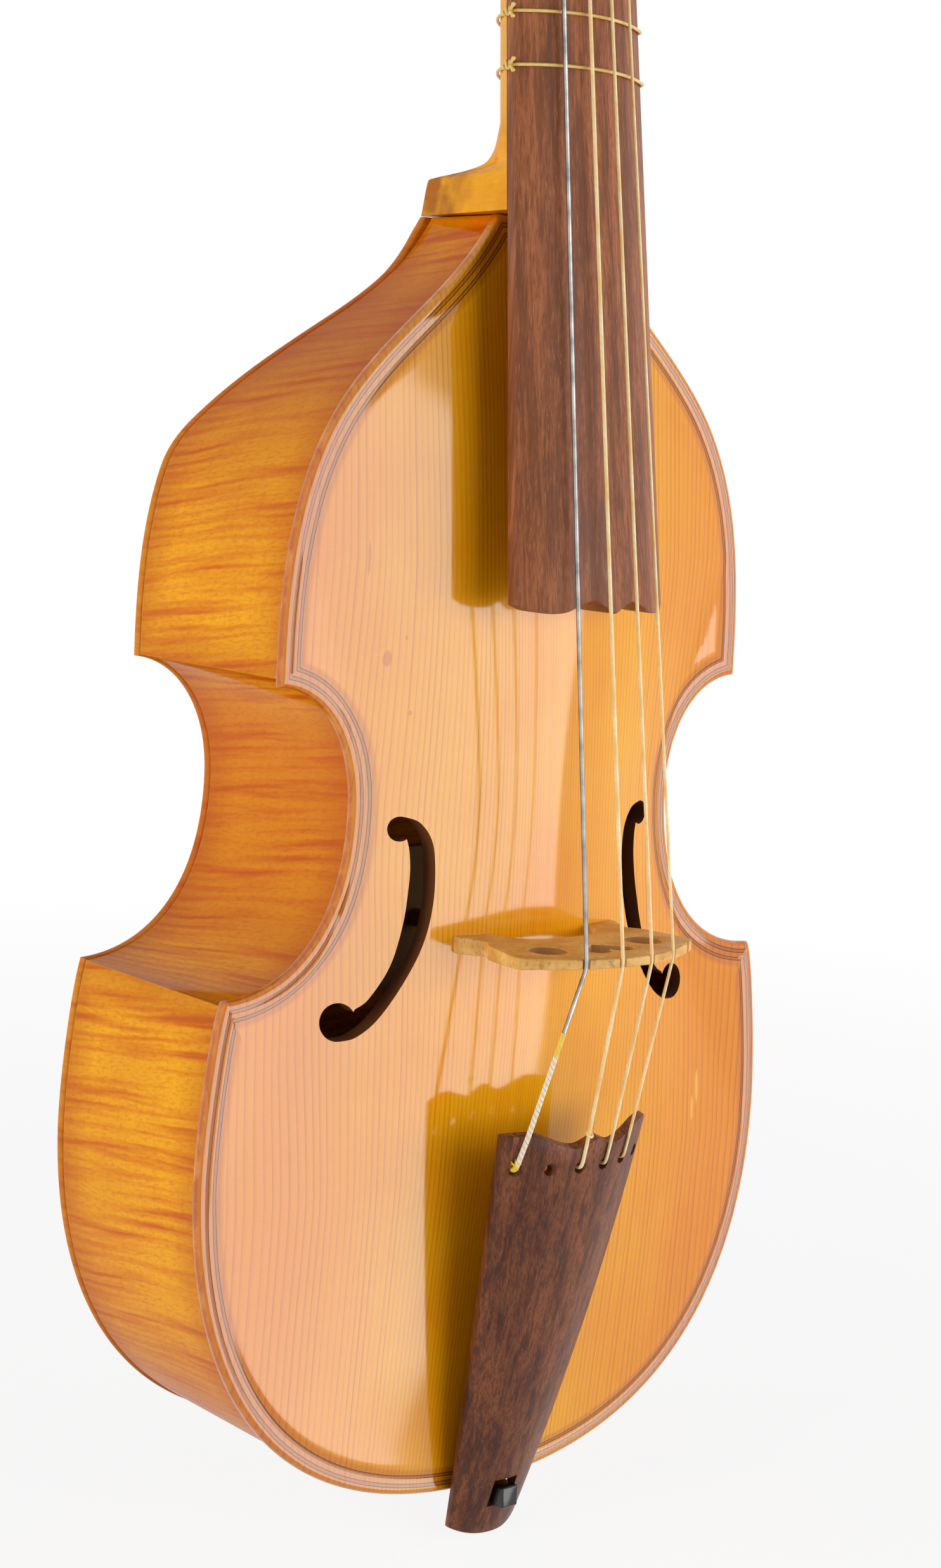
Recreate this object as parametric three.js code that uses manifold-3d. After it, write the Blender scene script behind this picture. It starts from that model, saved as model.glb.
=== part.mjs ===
// Treble viola da gamba: a six-string bowed viol with a flat back, gut frets and a carved scroll.
// Units are millimetres. +X is the treble side, -Y is the front (belly), +Z points to the scroll.
// The origin lies on the flat outer face of the back, on the centre line, level with the bridge.

import * as THREE from 'three';
import { mergeVertices } from 'three/addons/utils/BufferGeometryUtils.js';
import Module from 'manifold-3d';

const wasm = await Module();
wasm.setup();
const { Manifold, Mesh: SolidMesh } = wasm;

// Body outline: half widths, and heights above the bridge station
const shoulderDrop = 48.6;
const neckJointHalf = 18.7;
const shoulderHalf = 64.6;
const upperCornerHalf = 87.3;
const waistHalf = 60.8;
const lowerCornerHalf = 101.6;
const lowerBoutHalf = 108.4;
const neckJointZ = 208.2;
const shoulderZ = neckJointZ - shoulderDrop;
const upperCornerZ = 74.9;
const waistZ = 40;
const lowerCornerZ = -11.6;
const lowerBoutZ = -64;
const bottomZ = -171.8;

// Body depth, plates and ribs
const bodyDepth = 77.9;
const bellyEdge = 4;
const bellyThickness = 3.3;
const archHeight = 14.2;
const archMargin = 3;
const gluePlatform = 7;
const archFlare = 9.6;
const archFlareReach = 38;
const archTopZ = 8;
const backThickness = 3.2;
const edgeRound = 1;
const overhang = 2;
const ribThickness = 1.9;
const foldDrop = 68.9;
const easeLowerDrop = 30.2;
const easeUpperDrop = 10.2;
const foldZ = neckJointZ - foldDrop;
const easeStartZ = neckJointZ - easeLowerDrop;
const easeEndZ = neckJointZ - easeUpperDrop;
const foldSlopeShare = 0.82;
const heelSlopeShare = 0.07;

// Clearance between seated pieces, clearance of running pieces, and how far cutters overrun
const seat = 0.3;
const running = 0.35;
const overrun = 6;

// Inner framework
const liningWidth = 4.5;
const liningHeight = 7;
const blockLeg = 17;
const topBlockHeight = 28.2;
const topBlockZ = neckJointZ - topBlockHeight;
const bottomBlockHalf = 32;
const bottomBlockHeight = 18;
const barX = -18.5;
const barWidth = 5;
const barDepth = 8;
const barHalfLength = 118;
const postX = 19;
const postZ = -9;
const postRadius = 3;
const braceDepth = 5;
const braceWidth = 12;
const postBraceWidth = 46;
const upperBraceDrop = 39.3;
const upperBraceZ = foldZ - upperBraceDrop;
const lowerBraceZ = -106;

// Sound holes: the place of the upper and lower round ends, their radii, and the stroke between
const holeUpperX = 46.5;
const holeUpperZ = 34;
const holeUpperRadius = 3.6;
const holeLowerX = 64.9;
const holeLowerZ = -20.4;
const holeLowerRadius = 5.5;

// Neck, fingerboard and nut. The board's edge starts above the level of the belly edge at its
// lower end and has dropped behind that level at the nut
const neckLength = 163.3;
const neckBackDepth = 17;
const neckBackDepthAtNut = 14;
const nutZ = neckJointZ + neckLength;
const boardLowerZ = 99.4;
const boardLowerHalf = 27.9;
const boardHalfAtNut = 20.2;
const boardLowerLift = 26.8;
const boardDropAtNut = 4.5;
const boardEdgeThickness = 3.4;
const boardRadius = 41;
const boardScallop = 2.6;
const nutLength = 5;
const nutRise = 1.4;
const heelLength = 24.8;
const heelEaseZ = neckJointZ + heelLength;
const heelSideHalf = 18.2;

// Frets
const fretCount = 7;
const fretRadius = 0.55;
const fretKnotRadius = 1.15;
const fretClearance = 0.42;

// Strings: radius, and places at nut and bridge as multiples of the spacings
const nutSpacing = 7.1;
const bridgeSpacing = 11.2;
const stringRadius = 0.5;
const radiusShares = { string_2: 1.3, string_3: 1.1, string_4: 1, string_5: 0.9 };
const slotShares = { string_2: -1.5, string_3: -0.5, string_4: 0.5, string_5: 1.5 };

// Bridge: its top stands above the level of the belly edge, and its holes hang from the top
const bridgeHalf = 33.4;
const bridgeRise = 55.7;
const bridgeTop = bodyDepth + bridgeRise;
const bridgeArchDrop = 13;
const bridgeWaist = 28.6;
const bridgeFootOuter = 30.5;
const bridgeFootInner = 18.3;
const bridgeFootRise = 2.6;
const bridgeFootThickness = 5;
const bridgeTopThickness = 2.6;
const bridgeBackZ = -1.9;
const bridgeWaistRise = 11;
const bridgeEyeX = 18.4;
const bridgeEyeDrop = 18.1;
const bridgeEyeRadius = 5.6;
const bridgeHeartHalf = 8.6;
const bridgeHeartDrop = 8.8;
const bridgeHeartTall = 11.2;
const notchHalf = 1.08;
const notchDepth = 0.9;

// Tailpiece and hook: lifts and rises are measured from the level of the belly edge
const tailTopZ = -51;
const tailTopHalf = 28;
const tailTopLift = 33;
const tailBottomZ = -182.7;
const tailBottomHalf = 12.8;
const tailBottomLift = 0.9;
const tailWidthBow = 1.2;
const tailHeightBow = 1.9;
const tailScallop = 3.5;
const tailTopArch = 11;
const tailBottomArch = 5.2;
const tailThickness = 3.6;
const tailHoleZ = -61.6;
const tailHoleSpacing = 9.3;
const tailHoleRadius = 1.6;
const mortiseHalf = 4.4;
const mortiseTopZ = -166;
const mortiseBottomZ = -175.3;
const hookHalf = 3.1;
const hookTipTopZ = -168;
const hookTipBottomZ = -174.6;
const hookTipRise = 13.6;
const hookBarDepth = 6.6;
const hookBarLength = 57.5;

// Pegbox and scroll, measured along and square to the pegbox front edge
const pegboxTilt = THREE.MathUtils.degToRad(14);
const pegboxLength = 95;
const pegboxDepthAtNut = 15;
const pegboxDepth = 24;
const pegboxDepthAtScroll = 17;
const chinReach = 12;
const pegboxHalfAtScroll = 13;
const pegboxWall = 4.6;
const pegboxFloor = 4.2;
const pegboxCornerCut = 3.2;
const cavityCornerCut = 1.2;
const cavityLowerReach = 5;
const cavityUpperReach = 90;
const scrollCentre = 109;
const scrollCentreDepth = 5;
const scrollRadius = 19.5;
const scrollEyeRadius = 3.6;
const scrollNeckHalf = 7;
const scrollEyeHalf = 15.5;
const scrollTurns = 1.75;

// Pegs
const pegNames = ['peg_bass_1', 'peg_treble_1', 'peg_bass_2', 'peg_treble_2', 'peg_bass_3',
  'peg_treble_3'];
const firstPegReach = 18;
const pegPitch = 13;
const pegDepth = 8.8;
const pegRadius = 3.4;
const pegTipRadius = 2.8;
const pegCollarRadius = 5;
const pegStem = 9;
const pegHeadLength = 21;
const pegHeadHalf = 10;
const pegHeadThickness = 3.4;
const pegTipReach = 2;
const pegClearance = 0.42;
const windingTurns = 3;
const windingSteps = 14;
const windingGap = 0.5;
const windingSpacing = 5;
const windingOf = { string_2: 'peg_bass_2', string_3: 'peg_bass_3', string_4: 'peg_treble_3',
  string_5: 'peg_treble_2' };

// Colours of the finishes
const colours = {
  spruce: [0xd98f4e, 0.25],
  maple: [0xc9801f, 0.28],
  rosewood: [0x4a2c22, 0.5],
  bridgeMaple: [0xcfa667, 0.6],
  gut: [0xe0c887, 0.45],
  silver: [0xc4c4c0, 0.3],
  ebony: [0x15110f, 0.25],
  innerWood: [0xd8b482, 0.8],
  bone: [0xe8dcc0, 0.4],
};

// Vectors, interpolation and closed meshes
const at = (x, y, z) => new THREE.Vector3(x, y, z);
const mix = THREE.MathUtils.lerp;
const clamp = THREE.MathUtils.clamp;
const shareOf = (value, from, to) => (value - from) / (to - from);

function meshOf(triangles) {
  const positions = [];
  for (const [a, b, c] of triangles) {
    if (a.distanceTo(b) > 1e-6 && b.distanceTo(c) > 1e-6 && c.distanceTo(a) > 1e-6) {
      positions.push(...a, ...b, ...c);
    }
  }
  const geometry = new THREE.BufferGeometry();
  geometry.setAttribute('position', new THREE.Float32BufferAttribute(positions, 3));
  return facingOut(mergeVertices(geometry, 1e-5));
}

function facingOut(geometry) {
  const position = geometry.getAttribute('position');
  const index = geometry.getIndex();
  let volume = 0;
  const [a, b, c] = [at(), at(), at()];
  for (let i = 0; i < index.count; i += 3) {
    a.fromBufferAttribute(position, index.getX(i));
    b.fromBufferAttribute(position, index.getX(i + 1));
    c.fromBufferAttribute(position, index.getX(i + 2));
    volume += a.dot(b.cross(c));
  }
  if (volume < 0) {
    for (let i = 0; i < index.count; i += 3) {
      const first = index.getX(i);
      index.setX(i, index.getX(i + 1));
      index.setX(i + 1, first);
    }
  }
  return geometry;
}

// A flat face over a closed ring, turned along the ring's own direction or against it
function capOf(ring, along) {
  const normal = at(0, 0, 0);
  ring.forEach((point, i) => {
    const next = ring[(i + 1) % ring.length];
    normal.add(at(0, 0, 0).crossVectors(point, next));
  });
  normal.normalize();
  const across = Math.abs(normal.z) < 0.9 ? at(0, 0, 1) : at(1, 0, 0);
  const u = at(0, 0, 0).crossVectors(across, normal).normalize();
  const v = at(0, 0, 0).crossVectors(normal, u);
  const flat = ring.map((point) => new THREE.Vector2(point.dot(u), point.dot(v)));
  const faces = THREE.ShapeUtils.triangulateShape(flat, []);
  return faces.map(([i, j, k]) => {
    const [a, b, c] = [flat[i], flat[j], flat[k]];
    const turn = (b.x - a.x) * (c.y - a.y) - (b.y - a.y) * (c.x - a.x);
    return (turn > 0) === along ? [ring[i], ring[j], ring[k]] : [ring[i], ring[k], ring[j]];
  });
}

// A skin over rings of equal point counts, with flat ends or joined end to start
function loft(rings, { closed = false, capped = true } = {}) {
  const triangles = [];
  const count = rings[0].length;
  const last = closed ? rings.length : rings.length - 1;
  for (let k = 0; k < last; k += 1) {
    const a = rings[k];
    const b = rings[(k + 1) % rings.length];
    for (let i = 0; i < count; i += 1) {
      const j = (i + 1) % count;
      triangles.push([a[i], a[j], b[j]], [a[i], b[j], b[i]]);
    }
  }
  if (!closed && capped) {
    triangles.push(...capOf(rings[0], false), ...capOf(rings[rings.length - 1], true));
  }
  return meshOf(triangles);
}

// A round tube through points, with one radius for each point, carried along without twist
function tube(points, radii, sides, closed = false) {
  const count = points.length;
  const tangentAt = (i) => {
    const before = closed ? points[(i - 1 + count) % count] : points[Math.max(i - 1, 0)];
    const after = closed ? points[(i + 1) % count] : points[Math.min(i + 1, count - 1)];
    return after.clone().sub(before).normalize();
  };
  let normal = at(0, 1, 0.1).cross(tangentAt(0)).normalize();
  const rings = points.map((point, i) => {
    const tangent = tangentAt(i);
    normal = normal.clone().addScaledVector(tangent, -normal.dot(tangent)).normalize();
    const side = at(0, 0, 0).crossVectors(tangent, normal);
    return Array.from({ length: sides }, (_, s) => {
      const angle = 2 * Math.PI * s / sides;
      return point.clone().addScaledVector(normal, radii[i] * Math.cos(angle))
        .addScaledVector(side, radii[i] * Math.sin(angle));
    });
  });
  return loft(rings, { closed });
}

function solidOf(geometry) {
  geometry.deleteAttribute('normal');
  geometry.deleteAttribute('uv');
  const merged = facingOut(mergeVertices(geometry, 1e-5));
  return new Manifold(new SolidMesh({
    numProp: 3,
    vertProperties: new Float32Array(merged.getAttribute('position').array),
    triVerts: new Uint32Array(merged.getIndex().array),
  }));
}

// The one body of a solid; slivers without volume, left where two pieces shared a face, are dropped
function geometryOf(solid) {
  const bodies = solid.decompose().sort((a, b) => b.volume() - a.volume());
  const mesh = bodies[0].getMesh();
  const geometry = new THREE.BufferGeometry();
  geometry.setAttribute('position', new THREE.Float32BufferAttribute(mesh.vertProperties, 3));
  geometry.setIndex(new THREE.Uint32BufferAttribute(mesh.triVerts, 1));
  return geometry;
}

// A solid cut back to a neighbour that is moved towards it by a seat
const fittedTo = (solid, neighbour, shift) => solid.subtract(neighbour.translate(0, shift, 0));

// A prism over an outline drawn in X and Z, standing between two places along Y
function prismAlongY(shape, y0, y1, curveSegments = 6) {
  const geometry = new THREE.ExtrudeGeometry(shape, { depth: y1 - y0, bevelEnabled: false,
    curveSegments });
  geometry.applyMatrix4(new THREE.Matrix4().set(1, 0, 0, 0, 0, 0, 1, y0, 0, 1, 0, 0, 0, 0, 0, 1));
  return geometry;
}

function cylinderBetween(from, to, radiusFrom, radiusTo, sides) {
  const length = from.distanceTo(to);
  const geometry = new THREE.CylinderGeometry(radiusTo, radiusFrom, length, sides);
  const turn = new THREE.Quaternion().setFromUnitVectors(at(0, 1, 0),
    to.clone().sub(from).normalize());
  geometry.applyQuaternion(turn);
  const middle = from.clone().add(to).multiplyScalar(0.5);
  geometry.translate(...middle);
  return geometry;
}

// Outline of the bass half, from the neck joint round to the bottom, as six curves.
// A handle is a share of its own stretch's width and height.
const stretches = [
  { name: 'upper', from: [neckJointHalf, neckJointZ], to: [shoulderHalf, shoulderZ], steps: 6,
    handleShares: [0.243, 0.409, 0.663, 0.63] },
  { name: 'upper', from: [shoulderHalf, shoulderZ], to: [upperCornerHalf, upperCornerZ], steps: 8,
    handleShares: [0.931, 0.289, 1.008, 0.649], passes: foldZ },
  { name: 'waist', from: [upperCornerHalf, upperCornerZ], to: [waistHalf, waistZ], steps: 7,
    handleShares: [0.569, 0.025, 1, 0.417] },
  { name: 'waist', from: [waistHalf, waistZ], to: [lowerCornerHalf, lowerCornerZ], steps: 7,
    handleShares: [0, 0.61, 0.392, 0.984] },
  { name: 'lower', from: [lowerCornerHalf, lowerCornerZ], to: [lowerBoutHalf, lowerBoutZ],
    steps: 5, handleShares: [0.348, 0.039, 1, 0.672] },
  { name: 'lower', from: [lowerBoutHalf, lowerBoutZ], to: [0, bottomZ], steps: 11,
    handleShares: [0, 0.598, 0.331, 1] },
];

function stretchPoints({ name, from, to, steps, handleShares, passes }) {
  const [x0, z0] = from;
  const [x3, z3] = to;
  const curve = new THREE.CubicBezierCurve(
    new THREE.Vector2(x0, z0),
    new THREE.Vector2(mix(x0, x3, handleShares[0]), mix(z0, z3, handleShares[1])),
    new THREE.Vector2(mix(x0, x3, handleShares[2]), mix(z0, z3, handleShares[3])),
    new THREE.Vector2(x3, z3));
  let shares = Array.from({ length: steps + 1 }, (_, i) => i / steps);
  if (passes !== undefined) {
    let [low, high] = [0, 1];
    for (let i = 0; i < 40; i += 1) {
      const middle = (low + high) / 2;
      if (curve.getPoint(middle).y > passes) low = middle;
      else high = middle;
    }
    const nearest = shares.reduce((best, s) => (Math.abs(s - low) < Math.abs(best - low) ? s : best));
    shares = shares.map((s) => (s === nearest ? low : s));
  }
  return shares.map((s) => {
    const point = curve.getPoint(s);
    return { name, x: point.x, z: point.y };
  });
}

// One half of the outline without the doubled joints, then the whole closed outline
const halfOutline = stretches.flatMap((stretch, i) => {
  const points = stretchPoints(stretch);
  return i === 0 ? points : points.slice(1);
});

function wholeOutline() {
  const bass = halfOutline.map(({ x, z }) => ({ x: -x, z }));
  const treble = halfOutline.slice(0, -1).reverse().map(({ x, z }) => ({ x, z }));
  const points = [...bass, ...treble, { x: 0, z: neckJointZ }];
  const count = points.length;
  return points.map((point, i) => {
    const before = points[(i - 1 + count) % count];
    const after = points[(i + 1) % count];
    const one = new THREE.Vector2(point.x - before.x, point.z - before.z).normalize();
    const two = new THREE.Vector2(after.x - point.x, after.z - point.z).normalize();
    const inOne = new THREE.Vector2(-one.y, one.x);
    const inTwo = new THREE.Vector2(-two.y, two.x);
    const sum = inOne.clone().add(inTwo);
    const miter = sum.multiplyScalar(1 / (1 + inOne.dot(inTwo)));
    return { ...point, nx: miter.x, nz: miter.y };
  });
}
const outline = wholeOutline();
const halfCount = halfOutline.length;
const insetOf = (point, distance) => ({
  x: point.x + point.nx * distance,
  z: point.z + point.nz * distance,
});

// The bass side for ribs and blocks: its top end runs straight on, past the neck joint
const bassSide = outline.slice(0, halfCount).map((point, i) => {
  if (i > 0) return { ...point, name: halfOutline[i].name };
  const next = outline[1];
  const along = new THREE.Vector2(next.x - point.x, next.z - point.z).normalize();
  return { name: point.name, x: point.x - along.x * overrun, z: point.z - along.y * overrun,
    nx: -along.y, nz: along.x };
});

// Half width of the outline drawn in by a distance, at a height
function halfWidthAt(z, distance) {
  const side = bassSide.map((point) => insetOf(point, distance));
  for (let i = 0; i < side.length - 1; i += 1) {
    const [a, b] = [side[i], side[i + 1]];
    if (a.z >= z && z > b.z) return -mix(a.x, b.x, shareOf(z, a.z, b.z));
  }
  return z > 0 ? -side[0].x : 0;
}

// Outer face of the back: flat, then folded towards the neck and eased into the heel
function backOuter(z) {
  if (z <= foldZ) return 0;
  const slope = (height) => (height < easeStartZ ? foldSlopeShare
    : mix(foldSlopeShare, heelSlopeShare, clamp(shareOf(height, easeStartZ, easeEndZ), 0, 1)));
  const straight = (Math.min(z, easeStartZ) - foldZ) * foldSlopeShare;
  const eased = Math.max(0, Math.min(z, easeEndZ) - easeStartZ)
    * (foldSlopeShare + slope(Math.min(z, easeEndZ))) / 2;
  const level = Math.max(0, z - easeEndZ) * heelSlopeShare;
  return -(straight + eased + level);
}
const backInner = (z) => backOuter(z) - backThickness;

// Arch of the belly above its edge: a smooth waist that leaves the corners flat
function archAt(x, z, drawnIn, height) {
  const flare = archFlare * (Math.abs(z - waistZ) / archFlareReach) ** 1.487;
  const half = Math.min(halfWidthAt(z, 0), waistHalf + flare) - drawnIn;
  const reach = z < archTopZ ? archTopZ - bottomZ - drawnIn : neckJointZ - drawnIn - archTopZ;
  const along = clamp(Math.abs(z - archTopZ) / reach, 0, 1);
  const across = half > 0 ? clamp(Math.abs(x) / half, 0, 1) : 1;
  return height * (1 - along ** 2.2) ** 1.4 * (1 - across ** 2) ** 1.4;
}
const bellyOuter = (x, z) => -(bodyDepth + archAt(x, z, archMargin, archHeight));
const underArch = archHeight + bellyEdge - bellyThickness;
const bellyInner = (x, z) => -(bodyDepth - bellyEdge
  + archAt(x, z, archMargin + gluePlatform, underArch));
const ribFrontY = -(bodyDepth - bellyEdge) + seat;

// A plate over the whole outline: rings drawn in from the edge, then shares of the way
// to the centre line
const fanRadiusShare = 0.55;
const fanLow = bottomZ + lowerBoutHalf * fanRadiusShare;
const fanHigh = neckJointZ - neckJointHalf;

function plateRing(distance, share, height) {
  return outline.map((point) => {
    const edge = insetOf(point, distance);
    const x = mix(edge.x, 0, share);
    const z = mix(edge.z, clamp(point.z, fanLow, fanHigh), share);
    return at(x, height(x, z), z);
  });
}

function bellyPlate() {
  const edgeTop = () => -bodyDepth;
  const edgeSide = () => -(bodyDepth - edgeRound);
  const edgeUnder = () => -(bodyDepth - bellyEdge);
  const platform = archMargin + gluePlatform;
  const rings = [
    plateRing(platform, 1, bellyInner),
    plateRing(platform, 0.66, bellyInner),
    plateRing(platform, 0.33, bellyInner),
    plateRing(platform, 0.12, bellyInner),
    plateRing(platform - seat, 0, edgeUnder),
    plateRing(0, 0, edgeUnder),
    plateRing(0, 0, edgeSide),
    plateRing(edgeRound, 0, edgeTop),
    plateRing(archMargin, 0, edgeTop),
    plateRing(archMargin, 0.12, bellyOuter),
    plateRing(archMargin, 0.3, bellyOuter),
    plateRing(archMargin, 0.52, bellyOuter),
    plateRing(archMargin, 0.76, bellyOuter),
    plateRing(archMargin, 1, bellyOuter),
  ];
  return loft(rings, { capped: false });
}

function backPlate() {
  const rounded = (x, z) => backOuter(z) - edgeRound;
  const inner = (x, z) => backInner(z);
  const outer = (x, z) => backOuter(z);
  const rings = [
    plateRing(gluePlatform, 1, inner),
    plateRing(gluePlatform, 0.5, inner),
    plateRing(gluePlatform, 0, inner),
    plateRing(0, 0, inner),
    plateRing(0, 0, rounded),
    plateRing(edgeRound, 0, outer),
    plateRing(edgeRound, 0.5, outer),
    plateRing(edgeRound, 1, outer),
  ];
  return loft(rings, { capped: false });
}

// One sound hole as a stroke that swells between two round ends and bows to the centre line
function soundHoleShape(side) {
  const spread = holeLowerX - holeUpperX;
  const length = holeUpperZ - holeLowerZ;
  const place = ([outwardShare, downShare]) => new THREE.Vector2(
    side * (holeUpperX + spread * outwardShare), holeUpperZ - length * downShare);
  const innerShares = [[-0.03, -0.066], [-0.3, -0.035], [-0.5, 0.06], [-0.56, 0.2], [-0.53, 0.4],
    [-0.36, 0.62], [-0.02, 0.83], [0.37, 1], [0.72, 1.085], [1, 1.101]];
  const outerShares = [[0.72, 0.935], [0.5, 0.885], [0.16, 0.72], [-0.05, 0.5], [-0.16, 0.27],
    [-0.16, 0.13], [-0.11, 0.05]];
  const stroke = [...new THREE.SplineCurve(innerShares.map(place)).getPoints(18),
    ...new THREE.SplineCurve(outerShares.map(place)).getPoints(12)];
  return new THREE.Shape(stroke);
}

function soundHoleCutter(side) {
  const front = -(bodyDepth + archHeight + overrun);
  const rear = -(bodyDepth - bellyEdge - overrun);
  const ball = (x, z, radius) => {
    const circle = new THREE.Shape();
    circle.absarc(side * x, z, radius, 0, 2 * Math.PI);
    return solidOf(prismAlongY(circle, front, rear, 8));
  };
  return solidOf(prismAlongY(soundHoleShape(side), front, rear))
    .add(ball(holeUpperX, holeUpperZ, holeUpperRadius))
    .add(ball(holeLowerX, holeLowerZ, holeLowerRadius));
}

const belly = (plate) => geometryOf(plate.subtract(soundHoleCutter(-1)).subtract(soundHoleCutter(1)));

// A run of outline points of one rib, shortened at both ends by lengths along the outline
function runOf(side, name, cutStart, cutEnd) {
  const own = bassSide.filter((point, i) => (
    point.name === name || bassSide[Math.min(i + 1, halfCount - 1)].name === name));
  const trim = (points, cut) => {
    if (cut === 0) return points;
    let left = cut;
    for (let i = 0; i < points.length - 1; i += 1) {
      const [a, b] = [points[i], points[i + 1]];
      const length = Math.hypot(b.x - a.x, b.z - a.z);
      if (left < length) {
        const s = left / length;
        const start = Object.fromEntries(['x', 'z', 'nx', 'nz'].map((k) => [k, mix(a[k], b[k], s)]));
        return [start, ...points.slice(i + 1)];
      }
      left -= length;
    }
    return points.slice(-2);
  };
  const cut = trim(trim(own, cutStart).reverse(), cutEnd).reverse();
  return cut.map((point) => (side < 0 ? point : { ...point, x: -point.x, nx: -point.nx }));
}

// A strip that follows a run, between two distances inside the outline and two places in depth
function strip(run, near, far, front, rear) {
  return loft(run.map((point) => {
    const outer = insetOf(point, near);
    const inner = insetOf(point, far);
    return [at(outer.x, front(outer.z), outer.z), at(outer.x, rear(outer.z), outer.z),
      at(inner.x, rear(inner.z), inner.z), at(inner.x, front(inner.z), inner.z)];
  }));
}

const ribInset = overhang + ribThickness;
const ribFront = () => ribFrontY;
const ribRear = (z) => backInner(z) - seat;
const intoBack = (z) => backInner(z) + backThickness / 4;

// A piece that reaches into the back is fitted to it, and cut level with the neck joint
function fittedToBack(geometry, back, top) {
  const fitted = fittedTo(solidOf(geometry), back, -seat);
  return geometryOf(fitted.trimByPlane([0, 0, -1], seat / 3 - top));
}

function rib(side, name, back) {
  const run = runOf(side, name, name === 'upper' ? 0 : seat, name === 'lower' ? seat / 2 : seat);
  return fittedToBack(strip(run, overhang, ribInset, ribFront, intoBack), back, neckJointZ);
}

// Linings stiffen the glued joints of the ribs, between the blocks
const liningNear = ribInset + seat;
const liningFar = liningNear + liningWidth;
const liningCuts = {
  upper: [neckJointZ - topBlockZ + liningHeight * 2 + overrun, blockLeg + liningHeight],
  waist: [blockLeg + seat, blockLeg + seat],
  lower: [blockLeg + liningHeight, bottomBlockHalf + liningWidth],
};

function bellyLining(side, name) {
  const run = runOf(side, name, ...liningCuts[name]);
  return strip(run, liningNear, liningFar, ribFront, () => ribFrontY + liningHeight);
}

function backLining(side, name, back) {
  const run = runOf(side, name, ...liningCuts[name]);
  const lining = strip(run, liningNear, liningFar, (z) => ribRear(z) - liningHeight, intoBack);
  return fittedToBack(lining, back, neckJointZ);
}

// A corner block fills the point between two ribs
function cornerBlock(side, upper) {
  const outer = upper ? runOf(side, 'upper', 0, 0).slice(-3) : runOf(side, 'lower', 0, 0).slice(0, 3);
  const waist = runOf(side, 'waist', 0, 0);
  const inner = upper ? waist : waist.slice().reverse();
  const legPoints = (points) => {
    const legs = [points[0]];
    let length = 0;
    for (let i = 1; i < points.length && length < blockLeg; i += 1) {
      const [a, b] = [points[i - 1], points[i]];
      const step = Math.hypot(b.x - a.x, b.z - a.z);
      const s = Math.min(1, (blockLeg - length) / step);
      legs.push(Object.fromEntries(['x', 'z', 'nx', 'nz'].map((k) => [k, mix(a[k], b[k], s)])));
      length += step;
    }
    return legs;
  };
  const outerLeg = legPoints(upper ? outer.slice().reverse() : outer);
  const innerLeg = legPoints(inner);
  const loop = [...outerLeg.slice().reverse(), ...innerLeg.slice(1)]
    .map((point) => insetOf(point, liningNear));
  const rearY = -backThickness - seat;
  return loft([loop.map(({ x, z }) => at(x, ribFrontY, z)), loop.map(({ x, z }) => at(x, rearY, z))]);
}

// End blocks are lofted from rung to rung up the body
function endBlock(heights, limit, back) {
  const block = loft(heights.map((z) => {
    const half = Math.min(limit, halfWidthAt(z, liningNear));
    return [at(-half, ribFrontY, z), at(half, ribFrontY, z), at(half, intoBack(z), z),
      at(-half, intoBack(z), z)];
  }));
  return fittedToBack(block, back, neckJointZ);
}

function topBlock(back) {
  const levels = bassSide.map((point) => insetOf(point, liningNear).z)
    .filter((z) => z > topBlockZ + seat);
  return endBlock([topBlockZ, ...levels.reverse()], lowerBoutHalf, back);
}

function bottomBlock(back) {
  const low = bottomZ + liningNear;
  const heightShares = [0.06, 0.15, 0.35, 1];
  return endBlock(heightShares.map((s) => mix(low, low + bottomBlockHeight, s)),
    bottomBlockHalf, back);
}

function bassBar(plate) {
  const stationShares = [-1, -0.8, -0.55, -0.28, 0, 0.28, 0.55, 0.8, 1];
  const bar = loft(stationShares.map((share) => {
    const z = share * barHalfLength;
    const [x0, x1] = [barX - barWidth / 2, barX + barWidth / 2];
    const foot = bellyInner(barX, z) - bellyThickness / 3;
    const depth = mix(barDepth, barDepth / 3, share ** 2) + bellyThickness / 3;
    return [at(x0, foot, z), at(x1, foot, z), at(x1, foot + depth, z), at(x0, foot + depth, z)];
  }));
  return geometryOf(fittedTo(solidOf(bar), plate, seat));
}

function soundPost(plate) {
  const front = bellyInner(postX, postZ) - bellyThickness / 3;
  const rear = -(backThickness + braceDepth + seat * 2);
  const post = cylinderBetween(at(postX, rear, postZ), at(postX, front, postZ), postRadius,
    postRadius, 16);
  return geometryOf(fittedTo(solidOf(post), plate, seat));
}

function backBrace(z, width) {
  const low = z - width / 2;
  const high = z + width / 2;
  const inset = liningFar + seat;
  const halfLow = halfWidthAt(low, inset);
  const halfHigh = halfWidthAt(high, inset);
  const halfMiddle = halfWidthAt(z, inset);
  const half = Math.min(halfLow, halfHigh, halfMiddle);
  const rear = -(backThickness + seat);
  const front = rear - braceDepth;
  const end = braceDepth * 2;
  return loft([low, high].map((height) => [at(-half, rear, height), at(half, rear, height),
    at(half, rear - braceDepth / 2, height), at(half - end, front, height),
    at(-half + end, front, height), at(-half, rear - braceDepth / 2, height)]));
}

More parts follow.
